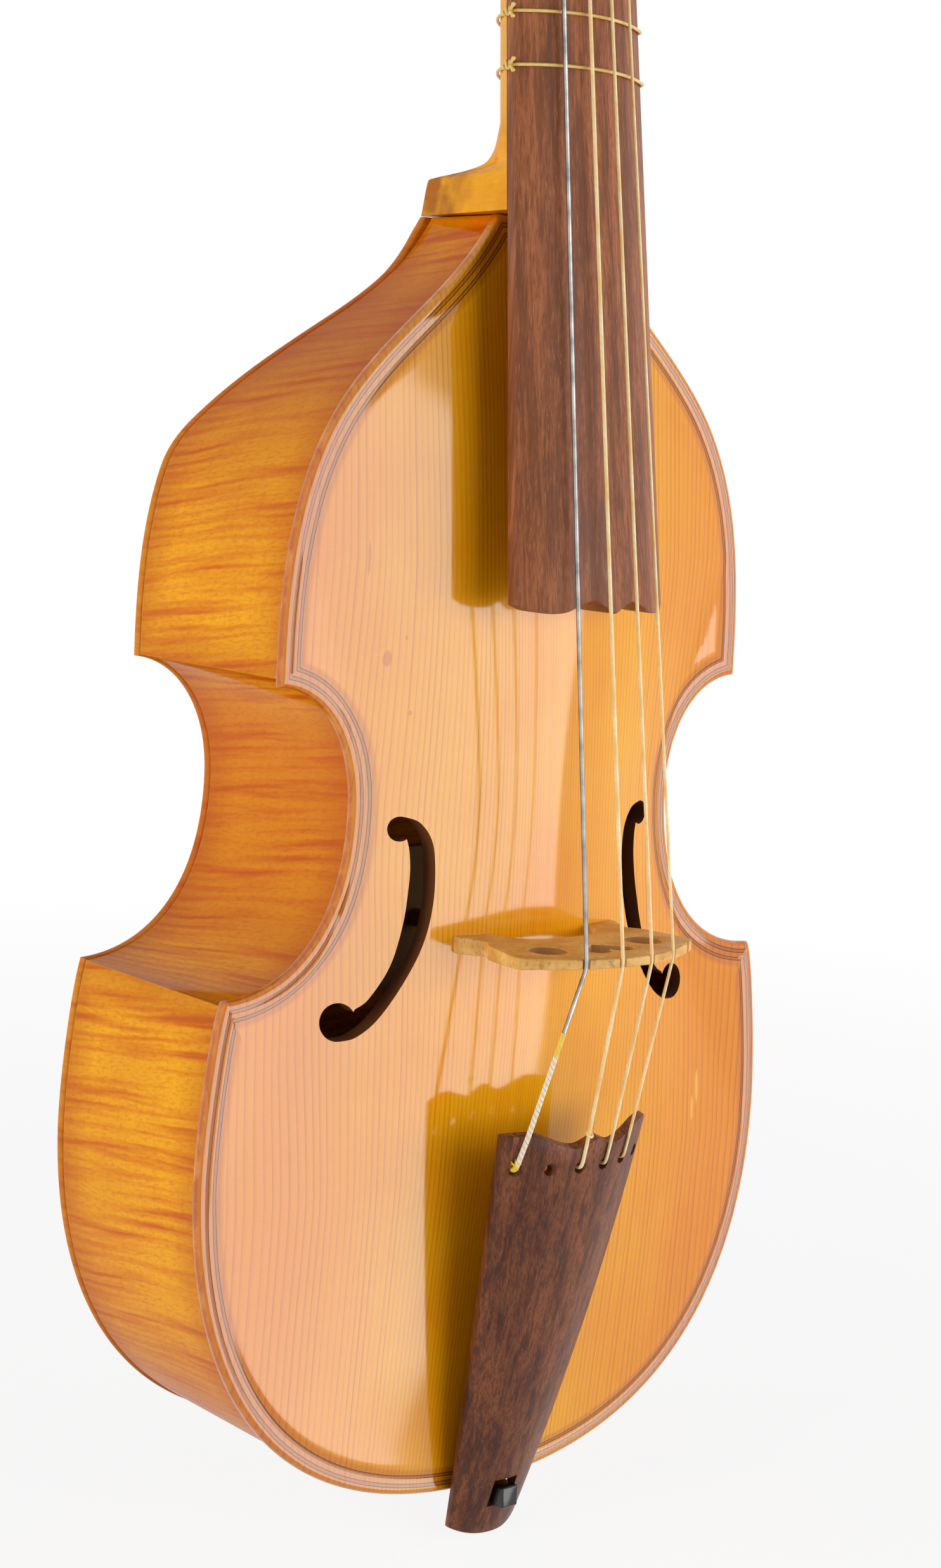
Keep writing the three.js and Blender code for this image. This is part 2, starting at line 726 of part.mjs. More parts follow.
// Lines of the fingerboard: half width, height of its upper edge and the arch across it
const boardShare = (z) => shareOf(z, boardLowerZ, nutZ);
const boardHalf = (z) => mix(boardLowerHalf, boardHalfAtNut, boardShare(z));
const boardEdgeY = (z) => -bodyDepth - mix(boardLowerLift, -boardDropAtNut, boardShare(z));
const sagitta = (x, half, radius) => Math.sqrt(radius ** 2 - x ** 2) - Math.sqrt(radius ** 2 - half ** 2);
const boardTopY = (x, z) => boardEdgeY(z) - sagitta(x, boardHalf(z), boardRadius);
const boardUnderY = (z) => boardEdgeY(z) + boardEdgeThickness;

// Scalloped ends of fingerboard and tailpiece: across from the centre, against depth of the cut
const boardScallopShares = [[0, 0.1], [0.1, 0.45], [0.26, 1], [0.42, 0.62], [0.55, 0.15],
  [0.7, 0], [0.86, 0.12], [1, 0.5]];
const tailScallopShares = [[0, 0.49], [0.1, 0.8], [0.22, 1.17], [0.34, 1.1], [0.5, 0.62],
  [0.7, 0], [0.88, 0.03], [1, 0.17]];
const acrossOf = (shares) => [...shares.slice(1).map(([across]) => -across).reverse(),
  ...shares.map(([across]) => across)];
const cutAt = (shares, across, depth) => depth
  * shares.find(([place]) => Math.abs(place - Math.abs(across)) < 1e-6)[1];

function fingerboard() {
  const rings = [0, 0.25, 0.5, 0.75, 1].map((share) => {
    const place = (across) => {
      const start = boardLowerZ - boardScallop / 2 + cutAt(boardScallopShares, across, boardScallop);
      const z = mix(start, nutZ - seat, share);
      return [across * boardHalf(z), z];
    };
    const across = acrossOf(boardScallopShares);
    const top = across.map(place).map(([x, z]) => at(x, boardTopY(x, z), z));
    const under = across.reverse().map(place).map(([x, z]) => at(x, boardUnderY(z), z));
    return [...top, ...under];
  });
  return loft(rings);
}

function nut() {
  const top = nutZ + nutLength;
  const half = boardHalfAtNut;
  const xs = [-1, -0.66, -0.33, 0, 0.33, 0.66, 1].map((s) => s * half);
  const rings = [nutZ, top].map((z) => [
    ...xs.map((x) => at(x, boardTopY(x, nutZ) - nutRise, z)),
    at(half, boardUnderY(nutZ), z), at(-half, boardUnderY(nutZ), z)]);
  return loft(rings);
}

// Neck sections: flat under the fingerboard and rounded behind, squarer towards the heel
function neckRing(z, depth, rootHalf, power) {
  const steps = 7;
  const half = boardHalf(z) - seat / 2;
  const glueY = boardUnderY(z) + seat;
  const shoulder = boardEdgeThickness * 3;
  const bass = Array.from({ length: steps + 1 }, (_, i) => {
    const angle = Math.PI / 2 * i / steps;
    const down = depth * Math.sin(angle) ** (2 / power);
    const width = mix(half, rootHalf, clamp(down / shoulder, 0, 1));
    return at(-width * Math.cos(angle) ** (2 / power), glueY + down, z);
  });
  const treble = bass.slice(0, -1).reverse().map(({ x, y }) => at(-x, y, z));
  return [...bass, ...treble];
}
const shaftPower = 1.65;
function shaftRing(z) {
  const depth = mix(neckBackDepth, neckBackDepthAtNut, shareOf(z, heelEaseZ, nutZ));
  return neckRing(z, depth, boardHalf(z), shaftPower);
}

// Heel rings: height up the heel, way from the heel's back to the neck's, width from side to board
const heelShares = [[0, 0, 0], [0.42, 0.078, 0], [0.441, 0.174, 0], [0.494, 0.544, 0.05],
  [0.571, 0.841, 0.3], [0.714, 0.952, 0.8]];
const heelPowers = [40, 40, 30, 10, 4, 2.2];

function neckShaft() {
  const rootZ = neckJointZ + seat;
  const rootDepth = backOuter(neckJointZ) - boardUnderY(rootZ) - seat;
  const heel = heelShares.map(([heightShare, riseShare, widthShare], i) => {
    const z = mix(rootZ, heelEaseZ, heightShare);
    const backY = mix(backOuter(neckJointZ), boardUnderY(heelEaseZ) + neckBackDepth, riseShare);
    const depth = Math.min(rootDepth, backY - boardUnderY(z) - seat);
    const side = i === 0 ? neckJointHalf : heelSideHalf;
    return neckRing(z, depth, mix(side, boardHalf(z), widthShare), heelPowers[i]);
  });
  const shaft = [0, 0.5, 1].map((share) => shaftRing(mix(heelEaseZ, nutZ, share)));
  return loft([...heel, ...shaft]);
}

// Pegbox coordinates: along the front edge, and square to it towards the back
const pegboxStart = at(0, boardUnderY(nutZ) + seat, nutZ);
const pegboxAlong = at(0, Math.sin(pegboxTilt), Math.cos(pegboxTilt));
const pegboxBack = at(0, Math.cos(pegboxTilt), -Math.sin(pegboxTilt));
const inPegbox = (x, along, depth) => at(x, 0, 0).add(pegboxStart)
  .addScaledVector(pegboxAlong, along).addScaledVector(pegboxBack, depth);
const pegboxHalf = (along) => mix(boardHalfAtNut - seat / 2, pegboxHalfAtScroll,
  clamp(along / pegboxLength, 0, 1));
const pegboxDepthAt = (along) => (along < chinReach
  ? mix(pegboxDepthAtNut, pegboxDepth, Math.sin(Math.PI / 2 * clamp(along / chinReach, 0, 1)))
  : mix(pegboxDepth, pegboxDepthAtScroll, shareOf(along, chinReach, pegboxLength)));

const pegboxRing = (along, half, near, far, cut) => [
  inPegbox(-half, along, near), inPegbox(-half, along, far - cut),
  inPegbox(-half + cut, along, far), inPegbox(half - cut, along, far),
  inPegbox(half, along, far - cut), inPegbox(half, along, near)];

function pegboxBlock() {
  const stationShares = [0, 0.04, 0.08, chinReach / pegboxLength, 0.5, 1];
  return loft(stationShares.map((share) => {
    const along = share * pegboxLength;
    return pegboxRing(along, pegboxHalf(along), 0, pegboxDepthAt(along), pegboxCornerCut);
  }));
}

function pegboxCavity() {
  return loft([cavityLowerReach, chinReach, cavityUpperReach].map((along) => pegboxRing(along,
    pegboxHalf(along) - pegboxWall, -overrun, pegboxDepthAt(along) - pegboxFloor,
    cavityCornerCut)));
}

// The scroll winds inward in wedges: its radius shrinks while its sides step outward
function scroll() {
  const steps = Math.round(scrollTurns * 18);
  const start = -0.32 * Math.PI;
  const decay = Math.log(scrollRadius / scrollEyeRadius) / (scrollTurns * 2 * Math.PI);
  const radiusAt = (turn) => scrollRadius * Math.exp(-decay * turn);
  const halfAt = (turn) => {
    const share = turn / (scrollTurns * 2 * Math.PI);
    const narrowing = mix(pegboxHalfAtScroll, scrollNeckHalf, clamp(share / 0.3, 0, 1));
    const widening = mix(scrollNeckHalf, scrollEyeHalf, clamp((share - 0.42) / 0.5, 0, 1));
    return share < 0.42 ? narrowing : widening;
  };
  const eyeEnd = (side) => inPegbox(side * (scrollEyeHalf + overrun / 8), scrollCentre,
    scrollCentreDepth);
  let whole = solidOf(cylinderBetween(eyeEnd(-1), eyeEnd(1), scrollEyeRadius * 1.15,
    scrollEyeRadius * 1.15, 15));
  for (let i = 0; i < steps; i += 1) {
    const turns = [i - 0.2, i + 1].map((k) => scrollTurns * 2 * Math.PI * Math.max(0, k) / steps);
    const [a, b] = turns.map((turn) => {
      const angle = start + turn;
      const radius = radiusAt(turn);
      return { half: halfAt(turn), along: scrollCentre + radius * Math.sin(angle),
        depth: scrollCentreDepth + radius * Math.cos(angle) };
    });
    const rings = [-1, 1].map((side) => [inPegbox(side * a.half, scrollCentre, scrollCentreDepth),
      inPegbox(side * a.half, a.along, a.depth), inPegbox(side * b.half, b.along, b.depth)]);
    whole = whole.add(solidOf(loft(rings)));
  }
  return whole;
}

// Pegs lie across the pegbox; the head stands out on the side that turns it
const pegSide = (name) => (name.includes('bass') ? -1 : 1);
const pegStation = (name) => firstPegReach + pegPitch * pegNames.indexOf(name);
const pegReach = (name) => pegboxHalf(pegStation(name)) + pegTipReach;
const pegPoint = (name, across) => inPegbox(pegSide(name) * across, pegStation(name), pegDepth);

function pegHole(name) {
  const reach = pegReach(name) + overrun;
  return solidOf(cylinderBetween(pegPoint(name, reach), pegPoint(name, -reach),
    pegRadius + pegClearance, pegTipRadius + pegClearance, 18));
}

function neckAndHead() {
  let wood = solidOf(neckShaft()).add(solidOf(pegboxBlock())).add(scroll());
  wood = wood.subtract(solidOf(pegboxCavity()));
  for (const name of pegNames) wood = wood.subtract(pegHole(name));
  return geometryOf(wood);
}

// A peg is turned with a collar, and its thumb piece is a flat rounded leaf
function peg(name) {
  const reach = pegReach(name);
  const wall = pegboxHalf(pegStation(name));
  const collar = wall + running + 0.5 * pegRadius;
  const stem = collar + pegStem;
  const profile = [[0, -reach], [pegTipRadius * 0.8, -reach], [pegTipRadius, -reach + 0.3 * pegTipRadius],
    [pegRadius, collar - 0.3 * pegRadius], [pegCollarRadius, collar], [pegCollarRadius, collar + 0.5 * pegRadius],
    [pegRadius * 0.8, collar + 0.9 * pegRadius], [pegRadius * 0.72, stem], [0, stem + pegRadius]];
  const shaft = new THREE.LatheGeometry(profile.map(([r, y]) => new THREE.Vector2(r, y)), 12);
  const leaf = new THREE.SphereGeometry(1, 12, 8);
  leaf.scale(pegHeadHalf, pegHeadLength / 2, pegHeadThickness);
  leaf.translate(0, stem + pegHeadLength / 2 - pegRadius / 2, 0);
  const whole = geometryOf(solidOf(shaft).add(solidOf(leaf)));
  const side = pegSide(name);
  const frame = new THREE.Matrix4().makeBasis(pegboxBack, at(side, 0, 0),
    at(0, 0, 0).crossVectors(pegboxBack, at(side, 0, 0)));
  whole.applyMatrix4(frame);
  whole.translate(...inPegbox(0, pegStation(name), pegDepth));
  return whole;
}

// Where each string crosses the nut and the bridge, and where it leaves for its peg
const radiusOf = (name) => stringRadius * radiusShares[name];
const nutPlace = (name) => {
  const x = slotShares[name] * nutSpacing;
  return at(x, boardTopY(x, nutZ) - nutRise - radiusOf(name) - running, nutZ + nutLength / 2);
};
const bridgeTopHeight = (x) => bridgeTop - bridgeArchDrop * (x / bridgeHalf) ** 2;
const bridgePlace = (name, z) => {
  const x = slotShares[name] * bridgeSpacing;
  return at(x, -(bridgeTopHeight(x) - notchDepth + running + radiusOf(name)), z);
};
const windingPitch = (name) => 2 * radiusOf(name) + windingGap;
const windingX = (name) => slotShares[name] * windingSpacing;
function windingRadius(name) {
  const reach = pegReach(windingOf[name]);
  const across = Math.abs(windingX(name)) + windingPitch(name) * windingTurns / 2;
  const wood = mix(pegTipRadius, pegRadius, shareOf(across, -reach, reach));
  return wood + running + running / 3 + radiusOf(name);
}

function winding(name) {
  const pegName = windingOf[name];
  const radius = windingRadius(name);
  const pitch = windingPitch(name);
  const count = windingTurns * windingSteps;
  const side = Math.sign(slotShares[name]);
  const straight = 2 * radiusOf(name);
  const points = Array.from({ length: count + 1 }, (_, i) => {
    const turn = i / windingSteps;
    const angle = turn * 2 * Math.PI;
    const x = windingX(name) + side * (turn - windingTurns / 2) * pitch;
    return inPegbox(x, pegStation(pegName) + radius * Math.sin(angle),
      pegDepth - radius * Math.cos(angle));
  });
  const end = points[count].clone().sub(points[count - 1]).setX(0).normalize();
  points.push(points[count].clone().addScaledVector(end, straight));
  const begin = points[0].clone().sub(points[1]).setX(0).normalize();
  points.unshift(points[0].clone().addScaledVector(begin, straight));
  let least = Infinity;
  for (let i = 0; i < points.length; i += 1) {
    for (let j = i + windingSteps - 2; j < points.length; j += 1) {
      least = Math.min(least, points[i].distanceTo(points[j]) - 2 * radiusOf(name));
    }
  }
  console.log(`${name} winding: least gap to itself ${least.toFixed(2)} mm`);
  return tube(points, points.map(() => radiusOf(name)), 5);
}

// The tailpiece: an arched wedge that narrows towards the hook
const tailShare = (z) => shareOf(z, tailTopZ, tailBottomZ);
const tailBow = (z) => 4 * tailShare(z) * (1 - tailShare(z));
const tailHalf = (z) => mix(tailTopHalf, tailBottomHalf, tailShare(z)) + tailWidthBow * tailBow(z);
const tailEdgeY = (z) => -bodyDepth - mix(tailTopLift, tailBottomLift, tailShare(z))
  - tailHeightBow * tailBow(z);
const tailArch = (z) => mix(tailTopArch, tailBottomArch, tailShare(z));
const tailSurfaceY = (x, z) => tailEdgeY(z) - tailArch(z) * (1 - (x / tailHalf(z)) ** 2);

function tailpieceBody() {
  const slope = (tailTopLift - tailBottomLift) / (tailTopZ - tailBottomZ);
  const top = (share, across) => {
    const start = tailTopZ - cutAt(tailScallopShares, across, tailScallop);
    const roundEnd = tailBottomZ - tailScallop * 0.74 * (1 - Math.abs(across) ** 3);
    const z = mix(start, roundEnd, share);
    const x = across * tailHalf(z);
    return at(x, tailSurfaceY(x, z), z);
  };
  const under = (share, across) => {
    const above = top(share, across);
    const thin = tailThickness * (1 - 0.3 * across ** 2);
    return above.add(at(-above.x * 0.02, thin, thin * slope * (1 - share)));
  };
  return loft([0, 0.06, 0.2, 0.4, 0.6, 0.8, 0.92, 1].map((share) => {
    const across = acrossOf(tailScallopShares);
    return [...across.map((place) => top(share, place)),
      ...across.reverse().map((place) => under(share, place))];
  }));
}

const tailHoleX = (slot) => slot * tailHoleSpacing;
const allSlots = [-2.5, -1.5, -0.5, 0.5, 1.5, 2.5];
// The outermost bass string leaves its notch empty, and the wound string uses its hole
const tailSlots = { string_2: -2.5, string_3: -0.5, string_4: 0.5, string_5: 1.5 };

function tailpiece() {
  let wood = solidOf(tailpieceBody());
  for (const slot of allSlots) {
    const x = tailHoleX(slot);
    const y = tailSurfaceY(x, tailHoleZ);
    wood = wood.subtract(solidOf(cylinderBetween(at(x, y - overrun, tailHoleZ),
      at(x, y + tailThickness + overrun, tailHoleZ), tailHoleRadius, tailHoleRadius, 10)));
  }
  const mortise = new THREE.Shape([new THREE.Vector2(-mortiseHalf, mortiseBottomZ),
    new THREE.Vector2(mortiseHalf, mortiseBottomZ), new THREE.Vector2(mortiseHalf, mortiseTopZ),
    new THREE.Vector2(-mortiseHalf, mortiseTopZ)]);
  const front = tailSurfaceY(0, mortiseTopZ) - overrun;
  return geometryOf(wood.subtract(solidOf(prismAlongY(mortise, front, front + overrun * 3))));
}

// The hook bar is set against the bottom ribs, passes the belly edge and catches the tailpiece
function hookBar() {
  const ribZ = bottomZ + overhang - seat;
  const edgeZ = bottomZ - seat;
  const outerZ = ribZ - hookBarDepth;
  const edgeY = bodyDepth - bellyEdge - seat;
  const slant = hookBarDepth / 3;
  const blunt = hookBarDepth / 12;
  const hookTipY = bodyDepth + hookTipRise;
  const hookBarEndY = hookTipY - hookBarLength;
  const side = [[hookBarEndY, ribZ], [edgeY, ribZ], [edgeY, edgeZ], [bodyDepth + seat, edgeZ],
    [bodyDepth + slant, hookTipTopZ], [hookTipY - blunt, hookTipTopZ],
    [hookTipY, hookTipTopZ - blunt], [hookTipY, hookTipBottomZ + blunt],
    [hookTipY - blunt, hookTipBottomZ], [bodyDepth + slant * 1.6, hookTipBottomZ],
    [bodyDepth + blunt, outerZ], [hookBarEndY + slant, outerZ], [hookBarEndY, outerZ + slant]];
  return loft([-hookHalf, hookHalf].map((x) => side.map(([y, z]) => at(x, -y, z))));
}

// The bridge: a pierced plate on two feet that are fitted to the belly
function bridgeOutline() {
  const footAt = (x) => -bellyOuter(x, 0);
  const waistHeight = footAt(bridgeFootOuter) + bridgeWaistRise;
  const shape = new THREE.Shape();
  const half = [
    [bridgeFootInner, footAt(bridgeFootInner) - seat],
    [bridgeFootOuter, footAt(bridgeFootOuter) - seat],
    [bridgeFootOuter, footAt(bridgeFootOuter) + bridgeFootRise],
    [bridgeWaist, mix(footAt(bridgeFootOuter), waistHeight, 0.6)],
    [bridgeWaist - 1.2 * notchHalf, waistHeight],
    [bridgeWaist + 1.2 * notchHalf, waistHeight + 1.5 * bridgeFootRise],
    [bridgeHalf - notchHalf, mix(waistHeight, bridgeTopHeight(bridgeHalf), 0.65)],
    [bridgeHalf, bridgeTopHeight(bridgeHalf) - notchDepth],
    [bridgeHalf - notchHalf, bridgeTopHeight(bridgeHalf - notchHalf)],
  ];
  const notched = allSlots.slice().reverse().flatMap((slot) => {
    const x = slot * bridgeSpacing;
    const floor = notchHalf * 0.8;
    const points = [[x + notchHalf, bridgeTopHeight(x + notchHalf)],
      [x + floor, bridgeTopHeight(x) - notchDepth], [x - floor, bridgeTopHeight(x) - notchDepth],
      [x - notchHalf, bridgeTopHeight(x - notchHalf)]];
    const between = x - bridgeSpacing / 2;
    return [...points, ...(slot > -2 ? [[between, bridgeTopHeight(between)]] : [])];
  });
  const arch = [[bridgeFootInner - 0.75 * notchHalf, footAt(bridgeFootInner) + 0.55 * bridgeEyeRadius],
    [bridgeFootInner * 0.78, footAt(bridgeFootInner) + 1.55 * bridgeEyeRadius],
    [bridgeFootInner * 0.4, footAt(bridgeFootInner) + 2.1 * bridgeEyeRadius],
    [0, footAt(bridgeFootInner) + 2.25 * bridgeEyeRadius]];
  const mirror = (points) => points.slice().reverse().map(([x, h]) => [-x, h]);
  const loop = [...half, ...notched, ...mirror(half), ...mirror(arch.slice(0, -1)).reverse(),
    ...arch.slice().reverse()];
  shape.setFromPoints(loop.map(([x, h]) => new THREE.Vector2(x, h)));
  return shape;
}

function bridgeHeart() {
  const heart = new THREE.Shape();
  const lobe = bridgeHeartHalf / 2;
  const lobeHeight = bridgeTop - bridgeHeartDrop - lobe;
  const point = bridgeTop - bridgeHeartDrop - bridgeHeartTall;
  const flankHeight = point + bridgeHeartTall * 0.3;
  heart.moveTo(0, point);
  heart.quadraticCurveTo(lobe, flankHeight, bridgeHeartHalf, lobeHeight);
  heart.absarc(lobe, lobeHeight, lobe, 0, Math.PI * 0.85);
  heart.lineTo(0, lobeHeight + lobe * 0.1);
  heart.absarc(-lobe, lobeHeight, lobe, Math.PI * 0.15, Math.PI);
  heart.quadraticCurveTo(-lobe, flankHeight, 0, point);
  return heart;
}

function bridge(bellyWood) {
  const prism = (shape, depth, segments) => {
    const geometry = new THREE.ExtrudeGeometry(shape, { depth, bevelEnabled: false,
      curveSegments: segments });
    geometry.applyMatrix4(new THREE.Matrix4().makeScale(1, -1, 1));
    return geometry;
  };
  const plate = prism(bridgeOutline(), bridgeFootThickness, 4);
  const position = plate.getAttribute('position');
  const low = bodyDepth + archHeight * 0.7;
  for (let i = 0; i < position.count; i += 1) {
    const share = clamp(shareOf(-position.getY(i), low, bridgeTop), 0, 1);
    const back = mix(bridgeBackZ, 0, share);
    const front = mix(bridgeBackZ + bridgeFootThickness, bridgeTopThickness, share);
    position.setZ(i, position.getZ(i) > bridgeFootThickness / 2 ? front : back);
  }
  const through = bridgeFootThickness + overrun;
  const cutters = [prism(bridgeHeart(), through, 5)];
  for (const side of [-1, 1]) {
    const eye = new THREE.Shape();
    eye.absarc(side * bridgeEyeX, bridgeTop - bridgeEyeDrop, bridgeEyeRadius, 0, 2 * Math.PI);
    cutters.push(prism(eye, through, 8));
  }
  let wood = solidOf(plate);
  for (const cutter of cutters) {
    cutter.translate(0, 0, bridgeBackZ - overrun / 2);
    wood = wood.subtract(solidOf(cutter));
  }
  return geometryOf(fittedTo(wood, bellyWood, -seat));
}

// A string runs from its peg over nut and bridge into its tailpiece hole, and ends in a knot
function gutString(name) {
  const radius = radiusOf(name);
  const nutPoint = nutPlace(name);
  const bridgePoint = bridgePlace(name, 0);
  const pegName = windingOf[name];
  const clear = windingRadius(name) + 2 * radius + running;
  const target = inPegbox(windingX(name), pegStation(pegName), pegDepth - clear);
  const holeX = tailHoleX(tailSlots[name]);
  const holeY = tailSurfaceY(holeX, tailHoleZ);
  const liftAt = (x, z) => (radius + running)
    * Math.hypot(1, 2 * tailArch(z) * x / tailHalf(z) ** 2) + running / 3;
  const lipZ = tailHoleZ + tailHoleRadius;
  const rimZ = tailHoleZ + tailHoleRadius / 3;
  const under = holeY + tailThickness;
  const knot = Math.min(2.6 * radius, tailHoleRadius);
  const knotTop = under + liftAt(holeX, tailHoleZ);
  const edgeX = mix(bridgePoint.x, holeX, shareOf(tailTopZ, bridgePoint.z, lipZ));
  const points = [target, at(nutPoint.x, nutPoint.y, nutPoint.z + nutLength / 2),
    at(nutPoint.x, nutPoint.y, nutPoint.z - nutLength / 2), bridgePlace(name, bridgeTopThickness),
    bridgePoint, at(edgeX, tailSurfaceY(edgeX, tailTopZ) - liftAt(edgeX, tailTopZ), tailTopZ),
    at(holeX, tailSurfaceY(holeX, lipZ) - liftAt(holeX, lipZ), lipZ),
    at(holeX, holeY - radius, rimZ), at(holeX, holeY + radius, tailHoleZ),
    at(holeX, knotTop - radius / 2, tailHoleZ), at(holeX, knotTop, tailHoleZ),
    at(holeX, knotTop + knot, tailHoleZ), at(holeX, knotTop + knot + radius, tailHoleZ)];
  const radii = points.map((_, i) => (i === points.length - 3 || i === points.length - 2
    ? knot : radius));
  return tube(points, radii, 8);
}

// A fret is a gut loop tied round neck and fingerboard, with its knot on the bass edge
function fret(number) {
  const z = nutZ * 2 ** (-number / 12);
  const clear = fretRadius + fretClearance;
  const half = boardHalf(z);
  const acrossTop = [-1, -0.75, -0.5, -0.25, 0, 0.25, 0.5, 0.75, 1];
  const section = [...acrossTop.map((share) => at(share * half, boardTopY(share * half, z), z)),
    at(half, boardUnderY(z), z), ...shaftRing(z).reverse().slice(1, -1), at(-half, boardUnderY(z), z)];
  const count = section.length;
  const tilt = (boardLowerLift + boardDropAtNut) / (nutZ - boardLowerZ);
  const points = section.map((point, i) => {
    const before = section[(i - 1 + count) % count];
    const after = section[(i + 1) % count];
    const one = at(point.y - before.y, before.x - point.x, 0).normalize();
    const two = at(after.y - point.y, point.x - after.x, 0).normalize();
    const outward = one.clone().add(two).multiplyScalar(clear / (1 + one.dot(two)));
    const moved = point.clone().add(outward);
    return moved.setZ(z - (moved.y - boardEdgeY(z)) * tilt);
  });
  const knotShift = fretKnotRadius - fretRadius;
  points[count - 1].x -= knotShift;
  const radii = points.map((_, i) => (i === count - 1 ? fretKnotRadius : fretRadius));
  return tube(points, radii, 5, true);
}

// The scene: one named mesh for each separate piece
const model = new THREE.Group();

function place(name, geometry, finish) {
  const [colour, roughness] = colours[finish];
  const material = new THREE.MeshStandardMaterial({ color: colour, roughness,
    metalness: finish === 'silver' ? 1 : 0 });
  const mesh = new THREE.Mesh(geometry, material);
  mesh.name = name;
  model.add(mesh);
}

const bellyWood = solidOf(bellyPlate());
const backWood = solidOf(backPlate());
place('belly', belly(bellyWood), 'spruce');
place('back', geometryOf(backWood), 'maple');
for (const [side, hand] of [[-1, 'bass'], [1, 'treble']]) {
  for (const name of ['upper', 'waist', 'lower']) {
    place(`rib_${name}_${hand}`, rib(side, name, backWood), 'maple');
    place(`lining_belly_${name}_${hand}`, bellyLining(side, name), 'innerWood');
    place(`lining_back_${name}_${hand}`, backLining(side, name, backWood), 'innerWood');
  }
  place(`corner_block_upper_${hand}`, cornerBlock(side, true), 'innerWood');
  place(`corner_block_lower_${hand}`, cornerBlock(side, false), 'innerWood');
}
place('top_block', topBlock(backWood), 'innerWood');
place('bottom_block', bottomBlock(backWood), 'innerWood');
place('bass_bar', bassBar(bellyWood), 'innerWood');
place('sound_post', soundPost(bellyWood), 'innerWood');
place('back_brace_upper', backBrace(upperBraceZ, braceWidth), 'innerWood');
place('back_brace_sound_post', backBrace(postZ, postBraceWidth), 'innerWood');
place('back_brace_lower', backBrace(lowerBraceZ, braceWidth), 'innerWood');
place('neck_and_scroll', neckAndHead(), 'maple');
place('fingerboard', fingerboard(), 'rosewood');
place('nut', nut(), 'bone');
place('bridge', bridge(bellyWood), 'bridgeMaple');
place('tailpiece', tailpiece(), 'rosewood');
place('hook_bar', hookBar(), 'ebony');
for (const name of pegNames) place(name, peg(name), 'rosewood');
for (const name of Object.keys(radiusShares)) {
  const finish = name === 'string_2' ? 'silver' : 'gut';
  place(name, gutString(name), finish);
  place(`${name}_winding`, winding(name), finish);
}
for (let number = 1; number <= fretCount; number += 1) place(`fret_${number}`, fret(number), 'gut');

export default model;
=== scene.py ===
# %% [markdown]
# A treble viola da gamba
# This notebook dresses a finished model of a small bowed viol. The model, called the frame,
# already has every piece in its place. Blender gives each piece its final surface: a finer
# shape where the eye would catch a facet, and a finish of wood, gut, silver or bone.

# %% Load the frame
import bisect
import random
from math import copysign, cos, exp, hypot, log, pi, radians, sin, sqrt, tau

import bmesh
import bpy
from mathutils import Matrix, Vector
from mathutils.bvhtree import BVHTree
from mathutils.interpolate import poly_3d_calc


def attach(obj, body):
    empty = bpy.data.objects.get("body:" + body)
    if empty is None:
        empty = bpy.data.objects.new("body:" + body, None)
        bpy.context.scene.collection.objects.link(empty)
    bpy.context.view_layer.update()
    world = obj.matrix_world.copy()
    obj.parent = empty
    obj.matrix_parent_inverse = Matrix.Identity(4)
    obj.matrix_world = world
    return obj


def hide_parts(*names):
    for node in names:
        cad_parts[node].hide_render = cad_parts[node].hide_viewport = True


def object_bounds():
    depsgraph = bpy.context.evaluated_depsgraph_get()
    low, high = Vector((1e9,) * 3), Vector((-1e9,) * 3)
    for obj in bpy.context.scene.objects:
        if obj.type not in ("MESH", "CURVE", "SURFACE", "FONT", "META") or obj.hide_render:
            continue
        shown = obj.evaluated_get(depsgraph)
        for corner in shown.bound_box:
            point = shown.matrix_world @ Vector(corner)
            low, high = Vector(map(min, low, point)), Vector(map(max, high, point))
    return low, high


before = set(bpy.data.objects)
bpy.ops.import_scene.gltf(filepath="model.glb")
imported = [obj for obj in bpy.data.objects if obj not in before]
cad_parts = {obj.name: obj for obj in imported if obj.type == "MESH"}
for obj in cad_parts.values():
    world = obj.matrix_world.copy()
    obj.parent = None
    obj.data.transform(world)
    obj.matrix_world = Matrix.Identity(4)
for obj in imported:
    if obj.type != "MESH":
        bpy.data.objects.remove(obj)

cad_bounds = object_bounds()

# %% [markdown]
# Every size of the instrument is written in millimetres, as its maker would measure it, and is
# turned into metres only when a mesh is made. The camera repeats the view of the photograph:
# from the bass side, a little above the middle of the body, with a lens that sees the whole
# body and the lower neck. Its three directions are the rows of a turn, so that no angle has to
# be guessed.

# %% The camera
MM = 0.001
camera_place = Vector((-516.27, -673.80, 148.37))
camera_right = Vector((0.77075795, -0.63514139, 0.05027526))
camera_down = Vector((-0.04540841, -0.1334695, -0.99001211))
camera_forward = Vector((0.63550788, 0.76077678, -0.13171344))
camera_lens = 61.83
camera_sensor = 36
camera_reach = 20


def camera_for_the_view():
    camera = bpy.data.cameras.new("view")
    camera.lens = camera_lens
    camera.sensor_fit = "AUTO"
    camera.sensor_width = camera_sensor
    camera.clip_end = camera_reach
    holder = bpy.data.objects.new("view", camera)
    turn = Matrix((camera_right, -camera_down, -camera_forward)).transposed()
    holder.matrix_world = Matrix.Translation(camera_place * MM) @ turn.to_4x4()
    bpy.context.collection.objects.link(holder)
    bpy.context.scene.camera = holder
    return holder


view_camera = camera_for_the_view()
print("camera at", [round(c, 3) for c in view_camera.location])

# %% [markdown]
# Both materials and geometry trees are built from nodes. Wiring them one by one is hard to
# read, so two small helpers are used all through the notebook. The first, a Value, wraps one
# socket and understands plus, minus, times and so on, which lets a pattern be written as a
# formula.

# %% Helper for node sums


